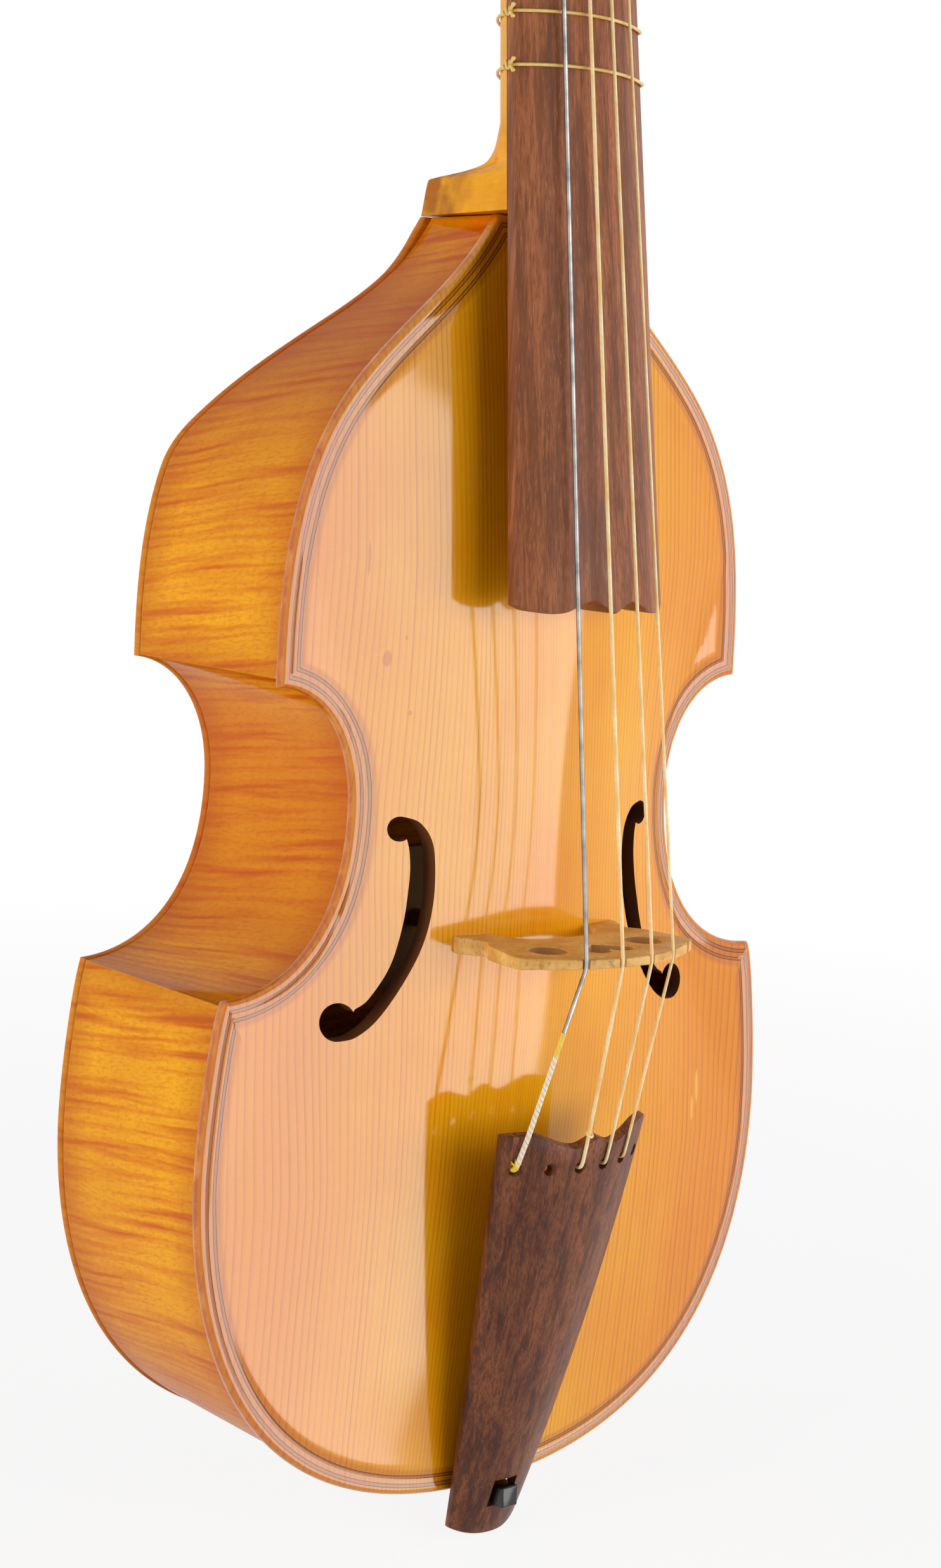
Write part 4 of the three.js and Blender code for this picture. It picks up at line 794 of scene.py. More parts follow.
def inward(points, i):
    """The direction into the body, square to the run at a point."""
    a, b = points[max(i - 1, 0)], points[min(i + 1, len(points) - 1)]
    along = (b - a).normalized()
    return Vector((along.y, -along.x))


def corner_pull(before, after):
    """From a corner to where two lines drawn in by one millimetre meet."""
    total = before + after
    return total / (1 + before.dot(after))


def pull_between(before, after):
    """The pull at the corner where one run ends and the next begins."""
    return corner_pull(inward(runs[before], len(runs[before]) - 1), inward(runs[after], 0))


neck_pull = corner_pull(Vector((0, -1)), inward(runs["upper"], 0))
upper_pull, lower_pull = pull_between("upper", "waist"), pull_between("waist", "lower")
end_pulls = {"upper": (neck_pull, upper_pull), "waist": (upper_pull, lower_pull),
             "lower": (lower_pull, Vector((0, 1)))}


def has_passed(point, corner, pull, ahead):
    """Whether a point has passed a corner's dividing line, and has to be set back onto it."""
    side = pull.x * ahead.y - pull.y * ahead.x
    here = pull.x * (point - corner).y - pull.y * (point - corner).x
    return here * side < 0


def drawn_in(name, distance):
    """One run, drawn in by a distance, with its ends on the dividing lines."""
    points = runs[name]
    moved = [point + inward(points, i) * distance for i, point in enumerate(points)]
    for end, step, pull in ((0, 1, end_pulls[name][0]), (len(points) - 1, -1, end_pulls[name][1])):
        corner, ahead = points[end], points[end + step] - points[end]
        for i in range(end, end + step * corner_watch, step):
            if i == end or has_passed(moved[i], corner, pull, ahead):
                moved[i] = corner + pull * distance
    return moved


def half_ring(distance):
    upper, middle, lower = (drawn_in(name, distance) for name in runs)
    return upper + middle[1:] + lower[1:]


print("drawn in by 2 mm, the bottom is at", round(half_ring(2.0)[-1].y, 1), "mm")

# %% [markdown]
# A mesh is made from plain lists of points and faces. Seams are closed by merging points that
# lie together, normals are turned outward, and the shading is smooth except across real
# edges. Numbers that a finish needs, such as the distance from the edge, are stored on the
# points.

# %% Helpers for meshes
merge_reach = 0.004
crease_angle = radians(38)


def shade(mesh):
    mesh.shade_smooth()
    mesh.set_sharp_from_angle(angle=crease_angle)


def new_mesh(name, points, faces, numbers):
    """A closed mesh from points in mm; numbers holds one list of values for each point."""
    work = bmesh.new()
    layers = {key: work.verts.layers.float.new(key) for key in (numbers or {})}
    made = []
    for i, point in enumerate(points):
        vertex = work.verts.new(Vector(point) * MM)
        for key, layer in layers.items():
            vertex[layer] = numbers[key][i]
        made.append(vertex)
    for face in faces:
        corners = [made[i] for i in face]
        if len(set(corners)) > 2 and work.faces.get(corners) is None:
            work.faces.new(corners)
    bmesh.ops.remove_doubles(work, verts=work.verts, dist=merge_reach * MM)
    bmesh.ops.dissolve_degenerate(work, edges=work.edges, dist=merge_reach * MM)
    bmesh.ops.recalc_face_normals(work, faces=work.faces)
    if work.calc_volume(signed=True) < 0:
        bmesh.ops.reverse_faces(work, faces=work.faces)
    mesh = bpy.data.meshes.new(name)
    work.to_mesh(mesh)
    work.free()
    shade(mesh)
    return mesh


def new_piece(name, mesh, material):
    piece = bpy.data.objects.new(name, mesh)
    bpy.context.collection.objects.link(piece)
    mesh.materials.clear()
    mesh.materials.append(material)
    return piece


def block(name, points, faces, material, numbers=None):
    """A piece straight from points and faces."""
    return new_piece(name, new_mesh(name, points, faces, numbers), material)


def settle(piece):
    """The result of a piece's modifiers becomes its plain mesh."""
    bpy.context.view_layer.update()
    graph = bpy.context.evaluated_depsgraph_get()
    mesh = bpy.data.meshes.new_from_object(piece.evaluated_get(graph),
                                           preserve_all_data_layers=True, depsgraph=graph)
    piece.modifiers.clear()
    piece.data = mesh
    return piece


def skin(rings, ends=True):
    """Points and faces of a skin over rings of equal length."""
    count = len(rings[0])
    points = [point for ring in rings for point in ring]
    faces = []
    for here in range(0, (len(rings) - 1) * count, count):
        for i in range(count):
            j = (i + 1) % count
            faces.append((here + i, here + j, here + count + j, here + count + i))
    if ends:
        faces.append(tuple(range(count)))
        faces.append(tuple(range((len(rings) - 1) * count, len(rings) * count)))
    return points, faces


def tipped_skin(rings, tips):
    """A skin over rings that runs together in a point at both ends."""
    points, faces = skin(rings, ends=False)
    count = len(rings[0])
    for base, tip in zip((0, (len(rings) - 1) * count), tips):
        points.append(tip)
        faces += [(len(points) - 1, base + i, base + (i + 1) % count) for i in range(count)]
    return points, faces


def carve(piece, cutters, operation="DIFFERENCE"):
    """Cuts with, or joins, closed helper pieces, which are then thrown away."""
    for cutter in cutters:
        cut = piece.modifiers.new("carve", "BOOLEAN")
        cut.operation = operation
        cut.solver = "MANIFOLD"
        cut.material_mode = "TRANSFER"
        cut.object = cutter
        settle(piece)
    for cutter in cutters:
        bpy.data.objects.remove(cutter, do_unlink=True)
    shade(piece.data)


def seat_on(piece, body, slot, node):
    """The piece rides on a body and stands for its node, whose frame part is hidden. The slot is
    not used.
    """
    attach(piece, body)
    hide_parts(node)
    return piece


print("mesh helpers ready")

# %% [markdown]
# The arch of the belly follows a rule, so it is made by a geometry tree. The flat plate goes
# in with two numbers on each point: how far across the plate it lies, and how far along. The
# tree lifts every point by a height that is full in the middle and fades to nought at the
# edge. Its inputs are named, so a flatter or fuller arch is one number away.

# %% A tree for the arch
arch_height = 14.2
arch_margin = 3.0
arch_top = 8.0
arch_flare = 9.6
arch_flare_reach = 38.0
arch_flare_power = 1.487
fullness_along = 2.2
fullness = 1.4


def tree_with_inputs(name, inputs):
    """A geometry tree whose group takes a mesh and the named inputs."""
    tree = bpy.data.node_groups.new(name, "GeometryNodeTree")
    tree.interface.new_socket("Geometry", in_out="INPUT", socket_type="NodeSocketGeometry")
    for label, (kind, value) in inputs.items():
        socket = tree.interface.new_socket(label, in_out="INPUT", socket_type=kind)
        if value is not None:
            socket.default_value = value
    tree.interface.new_socket("Geometry", in_out="OUTPUT", socket_type="NodeSocketGeometry")
    bench = Bench(tree)
    entry = bench.node("NodeGroupInput")
    given = {label: entry.outputs[label] for label in inputs}
    return tree, bench, entry.outputs["Geometry"], given


def hand_over(bench, geometry, material):
    """Every tree ends here: instances become real, and the material is set."""
    real = bench.node("GeometryNodeRealizeInstances", {0: geometry})
    dressed = bench.node("GeometryNodeSetMaterial", {0: real.outputs[0], 2: material})
    bench.node("NodeGroupOutput", {0: dressed.outputs[0]})


def stored_number(bench, name):
    node = bench.node("GeometryNodeInputNamedAttribute", {0: name}, data_type="FLOAT")
    return Value(bench, node.outputs[0])


def grow(piece, tree, **values):
    """Runs a tree on a piece, with its inputs set by name, and keeps the result."""
    modifier = piece.modifiers.new(tree.name, "NODES")
    modifier.node_group = tree
    for item in tree.interface.items_tree:
        label = item.name.replace(" ", "_").lower()
        if item.item_type == "SOCKET" and item.in_out == "INPUT" and label in values:
            modifier[item.identifier] = values[label]
    return settle(piece)


def make_arch_tree():
    tree, bench, plate, given = tree_with_inputs("arch", {
        "Arch Height": ("NodeSocketFloat", arch_height * MM),
        "Fullness Along": ("NodeSocketFloat", fullness_along),
        "Fullness": ("NodeSocketFloat", fullness),
        "Material": ("NodeSocketMaterial", None)})
    across = stored_number(bench, "across")
    along = stored_number(bench, "along")
    lift = stored_number(bench, "lift")
    power = Value(bench, given["Fullness"])
    length = (1 - along ** Value(bench, given["Fullness Along"])).kept() ** power
    width = (1 - across ** 2).kept() ** power
    height = length * width * lift * Value(bench, given["Arch Height"])
    raised = bench.node("GeometryNodeSetPosition",
                        {0: plate, 3: bench.vector(0.0, height * -1, 0.0)})
    hand_over(bench, raised.outputs[0], given["Material"])
    return tree


arch_tree = make_arch_tree()


def arch_shares(x, z, drawn):
    """How far across and along the arch a point lies, from nought to one."""
    flare = arch_flare * (abs(z - waist[1]) / arch_flare_reach) ** arch_flare_power
    half = min(half_width(z), waist[0] + flare) - drawn
    reach = (arch_top - bottom[1] if z < arch_top else neck_joint[1] - arch_top) - drawn
    across = kept(abs(x) / half) if half > 0 else 1.0
    return across, kept(abs(z - arch_top) / reach)


def arch_lift(x, z):
    """The tree's rule once more, for pieces that stand on the belly."""
    across, along = arch_shares(x, z, arch_margin)
    return arch_height * (1 - along ** fullness_along) ** fullness * (1 - across ** 2) ** fullness


print("arch tree:", len(arch_tree.nodes), "nodes")

# %% [markdown]
# The belly is a plate with a rounded edge. Its mesh is built of rings: closely spaced near the
# edge, where the rounding, a shallow hollow and the inlay lie, and wider towards the centre
# line. The inner face is made the same way, so that the plate has its true thickness where
# the sound holes show it.

# %% The belly
body_depth = 77.9
belly_edge = 4.0
belly_thickness = 3.3
glue_platform = 7.0
edge_round = 1.7
edge_hollow = 0.35
hollow_end = 8.5
outer_start = 12.0
inner_shares = (1, 0.85, 0.7, 0.55, 0.4, 0.28, 0.18, 0.1, 0.04, 0)
edge_insets = (2.3, 3.0, 3.65, 4.3, 5.0, 5.6, 6.2, 7.2, 8.4, 10.0, 12.0)
outer_shares = (0.03, 0.07, 0.12, 0.18, 0.24, 0.31, 0.38, 0.45, 0.52, 0.6, 0.68, 0.76, 0.84,
                0.92, 1)
far_inside = 9.0
fan_share = 0.55
fan_low = bottom[1] + lower_bout[0] * fan_share
fan_high = neck_joint[1] - neck_joint[0]


def ring_of(distance, share):
    """A whole ring as points in X and Z, drawn in and moved towards the centre line."""
    half = []
    for point in half_ring(distance):
        x = point.x * (1 - share)
        z = mix(point.y, kept(point.y, fan_low, fan_high), share)
        half.append((x, z))
    return [(-x, z) for x, z in half] + [(x, z) for x, z in reversed(half)][1:]


def quarter_turn(steps):
    """One less sine, and one less cosine, at even steps of a quarter turn."""
    angles = [pi / 2 * step / steps for step in range(steps + 1)]
    return [(1 - sin(angle), 1 - cos(angle)) for angle in angles]


def belly_rings():
    """Rings from the middle of the inner face, over the edge, to the middle of the outer.

    Each is: inset, share towards the middle, place in depth, share of the arch's lift, inset
    where the arch begins, and distance from the edge."""
    under = -(body_depth - belly_edge)
    inner_margin = arch_margin + glue_platform
    inner_lift = (arch_height + belly_edge - belly_thickness) / arch_height
    rings = [(inner_margin, share, under, inner_lift, inner_margin, far_inside)
             for share in inner_shares]
    rings.append((edge_round, 0, under, 0, inner_margin, far_inside))
    for out, up in quarter_turn(4)[1:]:
        rings.append((edge_round * out, 0, under - edge_round * up, 0, inner_margin, 0.0))
    for out, up in quarter_turn(4):
        rings.append((edge_round * up, 0, -(body_depth - edge_round * out), 0, arch_margin,
                      edge_round * up))
    for inset in edge_insets:
        dip = edge_hollow * sin(pi * kept(share_of(inset, edge_round, hollow_end))) ** 2
        rings.append((inset, 0, -body_depth + dip, int(inset > arch_margin), arch_margin, inset))
    return rings + [(outer_start, share, -body_depth, 1, arch_margin, outer_start)
                    for share in outer_shares]


def belly_plate():
    rings, numbers = [], {"across": [], "along": [], "lift": [], "from_edge": []}
    for inset, share, y, lift, drawn, edge in belly_rings():
        flat = ring_of(inset, share)
        rings.append([(x, y, z) for x, z in flat])
        for x, z in flat:
            for values, value in zip(numbers.values(), (*arch_shares(x, z, drawn), lift, edge)):
                values.append(value)
    return block("belly_plate", *skin(rings, ends=False), spruce, numbers)


belly = grow(belly_plate(), arch_tree, material=spruce)
print("belly:", len(belly.data.polygons), "faces")

# %% [markdown]
# The sound holes are two strokes, each swelling between a small round hole above and a larger
# one below. A curve through a few points gives the edge of a stroke. The holes are cut through
# the finished arch, and their walls take the dull brown of old bare wood.

# %% The sound holes
hole_above = (46.5, 34.0)
hole_below = (64.9, -20.4)
hole_radii = (3.6, 5.5)
hole_reach = (-98.0, -68.0)
same_side = 0.8
stroke_inner = [(-0.03, -0.066), (-0.3, -0.035), (-0.5, 0.06), (-0.56, 0.2), (-0.53, 0.4),
                (-0.36, 0.62), (-0.02, 0.83), (0.37, 1), (0.72, 1.085), (1, 1.101)]
stroke_outer = [(0.72, 0.935), (0.5, 0.885), (0.16, 0.72), (-0.05, 0.5), (-0.16, 0.27),
                (-0.16, 0.13), (-0.11, 0.05)]


def curve_through(points, steps):
    """A smooth curve through points, with equal steps of its own measure."""
    made = []
    for step in range(steps + 1):
        place = (len(points) - 1) * step / steps
        i = min(int(place), len(points) - 2)
        t = place - i
        p0, p1, p2, p3 = (points[kept(i + k, 0, len(points) - 1)] for k in (-1, 0, 1, 2))
        made.append(tuple(
            0.5 * (2 * b + (c - a) * t + (2 * a - 5 * b + 4 * c - d) * t * t
                   + (3 * b - a - 3 * c + d) * t ** 3)
            for a, b, c, d in zip(p0, p1, p2, p3)))
    return made


def even_turns(steps):
    return [tau * i / steps for i in range(steps)]


def circle(x, z, radius):
    return [(x + radius * cos(turn), z + radius * sin(turn)) for turn in even_turns(40)]


def cutter(name, outline, y0, y1, material):
    """A closed prism along Y over an outline in X and Z."""
    return block(name, *skin([[(x, y, z) for x, z in outline] for y in (y0, y1)]), material)


def keep_the_surface(mesh, whole):
    """Beside a cut, the surface keeps the shading and the edge distance of the whole plate."""
    places = [vertex.co for vertex in whole.vertices]
    tree = BVHTree.FromPolygons(places, [tuple(face.vertices) for face in whole.polygons])
    distances = whole.attributes["from_edge"].data
    smooth = []
    for vertex, distance in zip(mesh.vertices, mesh.attributes["from_edge"].data):
        place, _, i, _ = tree.find_nearest(vertex.co)
        ring = list(whole.polygons[i].vertices)
        shares = list(zip(ring, poly_3d_calc([places[j] for j in ring], place)))
        distance.value = sum(distances[j].value * share for j, share in shares)
        total = sum((whole.vertices[j].normal * share for j, share in shares), Vector())
        smooth.append(total.normalized())
    corners = [normal.vector.copy() for normal in mesh.corner_normals]
    for face in mesh.polygons:
        for k in face.loop_indices:
            wanted = smooth[mesh.loops[k].vertex_index]
            if wanted.dot(face.normal) > same_side:
                corners[k] = wanted
    mesh.normals_split_custom_set(corners)


def cut_sound_holes(piece):
    whole = piece.data
    cutters = []
    shape = curve_through(stroke_inner, 54) + curve_through(stroke_outer, 36)
    for side in (-1, 1):
        stroke = [(side * mix(hole_above[0], hole_below[0], across),
                   mix(hole_above[1], hole_below[1], down)) for across, down in shape]
        cutters.append(cutter("stroke", stroke, *hole_reach, cut_wood))
        for (x, z), radius in zip((hole_above, hole_below), hole_radii):
            cutters.append(cutter("ball", circle(side * x, z, radius), *hole_reach, cut_wood))
    carve(piece, cutters)
    keep_the_surface(piece.data, whole)


cut_sound_holes(belly)
seat_on(belly, "body", "belly_spruce", "belly")
print("belly with its holes:", len(belly.data.polygons), "faces")

# %% [markdown]
# The back is flat, as on most viols, but folds forward above the fold line to meet the heel.
# It is laid out flat in rings like the belly, cut across at the fold so that the bend stays
# clean, and then bent in a narrow round. Its edge is rounded less than the belly's, and tucked
# in a little, so that the ribs run right to it.

# %% The back
back_thickness = 3.2
back_round = 1.2
back_tuck = 1.5
tuck_end = (192, 204)
back_flat = 8.0
middle_distance = 12.0
fold_height = 139.3
fold_round = 7.0
ease_start = 178.0
ease_end = 198.0
fold_slope = 0.82
heel_slope = 0.07


def back_outer(z):
    """The back's outer face: flat below the rounded fold, sloping forward above it."""
    if z <= fold_height - fold_round:
        return 0.0
    if z <= fold_height + fold_round:
        return -fold_slope * (z - fold_height + fold_round) ** 2 / (4 * fold_round)
    if z <= ease_start:
        return -fold_slope * (z - fold_height)
    length = min(z, ease_end) - ease_start
    turning = (heel_slope - fold_slope) / (2 * (ease_end - ease_start))
    eased = fold_slope * length + turning * length ** 2
    past = max(z - ease_end, 0) * heel_slope
    return -fold_slope * (ease_start - fold_height) - eased - past


def back_rings():
    """Rings from the middle of the inner face to the middle of the outer, before the bend.

    Each is: inset, share towards the middle, place in depth, and distance from the edge."""
    rings = [(glue_platform, share, -back_thickness, far_inside) for share in (1, 0.6, 0.3, 0.1, 0)]
    rings.append((back_round, 0, -back_thickness, far_inside))
    rings += [(back_round * out, 0, -back_thickness + back_round * up, 0.0)
              for out, up in quarter_turn(3)[1:]]
    rings += [(back_round * up, 0, -back_round * out, back_round * up)
              for out, up in quarter_turn(3)]
    rings += [(inset, 0, 0, inset) for inset in (2.2, 4.0, back_flat)]
    return rings + [(back_flat, share, 0, middle_distance) for share in (0.1, 0.3, 0.6, 1)]


def bend_the_back(mesh):
    """Cuts the flat plate across where it bends, and then bends it."""
    work = bmesh.new()
    work.from_mesh(mesh)
    folds = [fold_height + fold_round * step / 3 for step in range(-3, 4)]
    folds += [mix(ease_start, ease_end, step / 4) for step in range(5)]
    for height in folds:
        bmesh.ops.bisect_plane(work, geom=work.verts[:] + work.edges[:] + work.faces[:],
                               plane_co=(0, 0, height * MM), plane_no=(0, 0, 1), dist=1e-7)
    for vertex in work.verts:
        vertex.co.y += back_outer(vertex.co.z / MM) * MM
    work.to_mesh(mesh)
    work.free()
    shade(mesh)


def back_plate():
    rings, edge = [], []
    for inset, share, y, distance in back_rings():
        tucked = ring_of(inset + back_tuck * max(1 - inset / back_flat, 0), share)
        ring = []
        for (x, z), (tucked_x, tucked_z) in zip(ring_of(inset, share), tucked):
            by_the_heel = kept(share_of(z, *tuck_end))
            ring.append((mix(tucked_x, x, by_the_heel), y, mix(tucked_z, z, by_the_heel)))
        rings.append(ring)
        edge += [distance] * len(ring)
    piece = block("back_plate", *skin(rings, ends=False), back_maple, {"from_edge": edge})
    bend_the_back(piece.data)
    return piece


back = back_plate()
seat_on(back, "body", "varnished_maple", "back")
print("back:", len(back.data.polygons), "faces, bent by", round(back_outer(neck_joint[1]), 1), "mm")

# %% [markdown]
# Each side has three ribs. A rib follows its run of the outline just inside the edges of the
# two plates. Its mesh carries the distance along the bend, for the flame, and the distance to
# its nearest edge, where the varnish is worn pale and a painted shade darkens a band inside it.

# %% The ribs
rib_near = 2.0
rib_far = 3.9
rib_front = -73.75
rib_seat = 0.15
rib_end_wear = 0.4
rib_inside = 20.0
rib_levels = (0, 0.02, 0.05, 0.11, 0.3, 0.5, 0.7, 0.89, 0.95, 0.98, 1)


def rib(side, name):
    near, far = drawn_in(name, rib_near), drawn_in(name, rib_far)
    if name == "upper":
        up = (runs["upper"][0] - runs["upper"][1]).normalized()
        for line in (near, far):
            line[0] = line[1] + up * ((neck_joint[1] - 0.1 - line[1].y) / up.y)
    lengths = [0.0]
    for a, b in zip(near, near[1:]):
        lengths.append(lengths[-1] + (b - a).length)
    rings, along, edge = [], [], []
    for outer, inner, length in zip(near, far, lengths):
        depth = back_outer(outer.y) - back_thickness - rib_seat - rib_front
        to_end = min(length, lengths[-1] - length) + rib_end_wear
        edge += [min(level * depth, (1 - level) * depth, to_end) for level in rib_levels]
        edge += [rib_inside] * len(rib_levels)
        along += [length] * 2 * len(rib_levels)
        ring = []
        for point, levels in ((outer, rib_levels), (inner, rib_levels[::-1])):
            rear = back_outer(point.y) - back_thickness - rib_seat
            ring += [(side * point.x, mix(rib_front, rear, level), point.y) for level in levels]
        rings.append(ring)
    node = "rib_" + name + ("_bass" if side < 0 else "_treble")
    numbers = {"along": along, "from_edge": edge}
    piece = block(node + "_wood", *skin(rings), rib_maple, numbers)
    return seat_on(piece, "body", "varnished_maple", node)


ribs = [rib(side, name) for side in (-1, 1) for name in ("upper", "waist", "lower")]
print("ribs:", [len(piece.data.polygons) for piece in ribs])

# %% [markdown]
# The fingerboard is a long wedge with an arched top and a scalloped lower end. A table gives
# the depth of the scallops against the way across, and a smooth curve through the table gives
# the rest. Board and tailpiece are made in the same way: a top line and an under line of
# points for each station, joined into a closed strip.

# %% The fingerboard
nut_height = 371.5
board_lower = 99.4
board_lower_half = 27.9
board_half_at_nut = 20.2
board_to_nut = 0.3
board_lift = 26.8
board_drop_at_nut = 4.5
board_edge = 3.4
board_radius = 41.0
board_scallop_depth = 3.8
board_scallops = [(0, 0.1), (0.1, 0.45), (0.26, 1), (0.42, 0.62), (0.55, 0.15), (0.7, 0),
                  (0.86, 0.12), (1, 0.5)]
edge_softness = 0.45


def board_half(z):
    return mix(board_lower_half, board_half_at_nut, share_of(z, board_lower, nut_height))


def board_edge_y(z):
    share = share_of(z, board_lower, nut_height)
    return -body_depth - mix(board_lift, -board_drop_at_nut, share)


def board_top(x, z):
    half = board_half(z)
    side = sqrt(board_radius ** 2 - half ** 2)
    return board_edge_y(z) - (sqrt(board_radius ** 2 - min(x * x, half * half)) - side)


def board_under(z):
    return board_edge_y(z) + board_edge


def smooth_table(half, steps=12):
    """A function that follows a table smoothly; the table is given for one side only."""
    table = [(-place, value) for place, value in half[:0:-1]] + half
    line = curve_through(table, steps * (len(table) - 1))
    places = [place for place, value in line]

    def value_at(place):
        i = kept(bisect.bisect_left(places, place), 1, len(places) - 1)
        (p0, v0), (p1, v1) = line[i - 1], line[i]
        return mix(v0, v1, kept(share_of(place, p0, p1))) if p1 > p0 else v0
    return value_at


def strip_piece(name, stations, material):
    """A closed strip from (top line, under line) pairs, with its ends closed by quads."""
    width = len(stations[0][0])
    rings = [top + under[::-1] for top, under in stations]
    points, faces = skin(rings, ends=False)
    count = 2 * width
    for base in (0, (len(rings) - 1) * count):
        faces += [(base + i, base + i + 1, base + count - 2 - i, base + count - 1 - i)
                  for i in range(width - 1)]
    return block(name, points, faces, material)


def softened(width, half):
    """Places across a strip, from -1 to 1, with extra ones where its edges are rounded."""
    flat = 1 - edge_softness / half
    inner = [mix(-flat, flat, i / width) for i in range(width + 1)]
    rounds = [1 - edge_softness / half * out for out, _ in quarter_turn(3)[1:]]
    return [-r for r in rounds[::-1]] + inner + rounds


def drop_at(across, half):
    """How far the rounding lowers an edge at a place across."""
    past = kept((abs(across) - (1 - edge_softness / half)) * half / edge_softness)
    return edge_softness * (1 - sqrt(1 - past ** 2))


def fingerboard():
    scallop = smooth_table(board_scallops)
    across = softened(56, board_lower_half)
    stations = []
    for share, pinch in [(0, edge_softness), (0.0006, 0.16), (0.0016, 0)] \
            + [(i / 18, 0) for i in range(1, 18)] + [(1, 0)]:
        top, under = [], []
        for place in across:
            start = board_lower - board_scallop_depth / 2 + scallop(place) * board_scallop_depth
            z = mix(start, nut_height - board_to_nut, share)
            x = place * board_half(z)
            low = drop_at(place, board_lower_half)
            top.append((x, board_top(x, z) + low + pinch, z))
            under.append((x, board_under(z) - low * 0.5 - pinch * 0.3, z))
        stations.append((top, under))
    piece = strip_piece("fingerboard_wood", stations, board_rosewood)
    return seat_on(piece, "body", "rosewood", "fingerboard")


board = fingerboard()
print("fingerboard:", len(board.data.polygons), "faces")

# %% [markdown]
# The nut closes the upper end of the fingerboard. Six shallow grooves lead the strings, and
# its long edges are eased.

# %% The nut
nut_length = 5.0
nut_rise = 1.4
nut_spacing = 7.1
groove_half = 0.75
groove_depth = 0.1
all_slots = (-2.5, -1.5, -0.5, 0.5, 1.5, 2.5)


def nut_top(x):
    groove = min(abs(x - slot * nut_spacing) for slot in all_slots) / groove_half
    dip = groove_depth * sqrt(1 - groove ** 2) if groove < 1 else 0.0
    return board_top(x, nut_height) - nut_rise + dip


def nut():
    half = board_half_at_nut
    places = [mix(-half, half, i / 160) for i in range(161)]
    stations = []
    for share, pinch in ((0, 0.5), (0.05, 0.12), (0.12, 0), (0.88, 0), (0.95, 0.12), (1, 0.5)):
        z = nut_height + nut_length * share
        stations.append(([(x, nut_top(x) + pinch, z) for x in places],
                         [(x, board_under(nut_height), z) for x in places]))
    piece = strip_piece("nut_bone_bar", stations, bone)
    return seat_on(piece, "body", "ebony", "nut")


nut_bar = nut()
print("nut:", len(nut_bar.data.polygons), "faces")

# %% [markdown]
# The neck is a lofted shape: flat under the fingerboard, half round behind, and squarer as it
# runs down into the heel. Each row of the heel's table is a share of its height, how far its
# back and then its sides have come towards the neck's, how square it is, and half its width.
# A curve that never overshoots fills the table in.

# %% The neck
neck_gap = 0.3
heel_root = neck_joint[1] + neck_gap
heel_side_half = 18.2
neck_depth = 17.0
neck_depth_at_nut = 14.0
neck_power = 1.65
neck_shoulder = 10.2
neck_steps = 14
heel_table = [(0, 0, 0, 40, neck_joint[0]), (0.42, 0.078, 0, 40, heel_side_half),
              (0.441, 0.174, 0, 30, heel_side_half), (0.494, 0.544, 0.05, 10, heel_side_half),
              (0.571, 0.841, 0.3, 4, heel_side_half), (0.714, 0.952, 0.8, 2.2, heel_side_half),
              (1, 1, 1, neck_power, heel_side_half)]


def steady_curve(points, steps):
    """Fills in a table with a curve that never runs past its points."""
    def slope(k, i):
        rises = [after[k] - before[k] for before, after in zip(points, points[1:])]
        one, two = rises[max(i - 1, 0)], rises[min(i, len(rises) - 1)]
        return 0.0 if one * two <= 0 else 2 * one * two / (one + two)

    made = []
    for i in range(len(points) - 1):
        for step in range(steps):
            t = step / steps
            a, b, c, d = (2 * t ** 3 - 3 * t ** 2 + 1, t ** 3 - 2 * t ** 2 + t,
                          3 * t ** 2 - 2 * t ** 3, t ** 3 - t ** 2)
            made.append(tuple(a * points[i][k] + b * slope(k, i)
                              + c * points[i + 1][k] + d * slope(k, i + 1)
                              for k in range(len(points[0]))))
    return made + [points[-1]]


def neck_ring(z, depth, root_half, power):
    """One section of the neck, from the bass edge round the back to the treble edge."""
    half = board_half(z) - neck_gap / 2
    glue = board_under(z) + neck_gap
    start = pi / neck_steps
    first = sin(start) ** (2 / power)
    shoulder = max(neck_shoulder, first * depth)
    downs = [first * k / 4 for k in range(4)]
    downs += [sin(mix(start, pi / 2, k / neck_steps)) ** (2 / power)
              for k in range(neck_steps + 1)]
    line = []
    for down in downs:
        width = mix(half, root_half, kept(down * depth / shoulder))
        line.append((-width * (1 - min(down, 1) ** power) ** (1 / power), glue + down * depth, z))
    return line + [(-x, y, z) for x, y, z in line[-2::-1]]


def neck_shaft():
    heel_end = back_outer(neck_joint[1])
    root_depth = heel_end - board_under(heel_root) - neck_gap
    back_end = board_under(heel_top) + neck_depth
    rings = []
    for height, rise, narrowing, power, side in steady_curve(heel_table, 5)[:-1]:
        z = mix(heel_root, heel_top, height)
        depth = min(root_depth, mix(heel_end, back_end, rise) - board_under(z) - neck_gap)
        rings.append(neck_ring(z, depth, mix(side, board_half(z), narrowing), power))
    for step in range(13):
        z = mix(heel_top, nut_height, step / 12)
        depth = mix(neck_depth, neck_depth_at_nut, step / 12)
        rings.append(neck_ring(z, depth, board_half(z), neck_power))
    return block("neck_wood", *skin(rings), neck_maple)


neck = neck_shaft()
print("neck:", len(neck.data.polygons), "faces")

# %% [markdown]
# The pegbox leans back from the nut. It is easiest to describe in its own directions: along
# its front edge, across, and square to both towards the back. It is deepest at the chin, just
# above the nut, and has a trough for the strings.

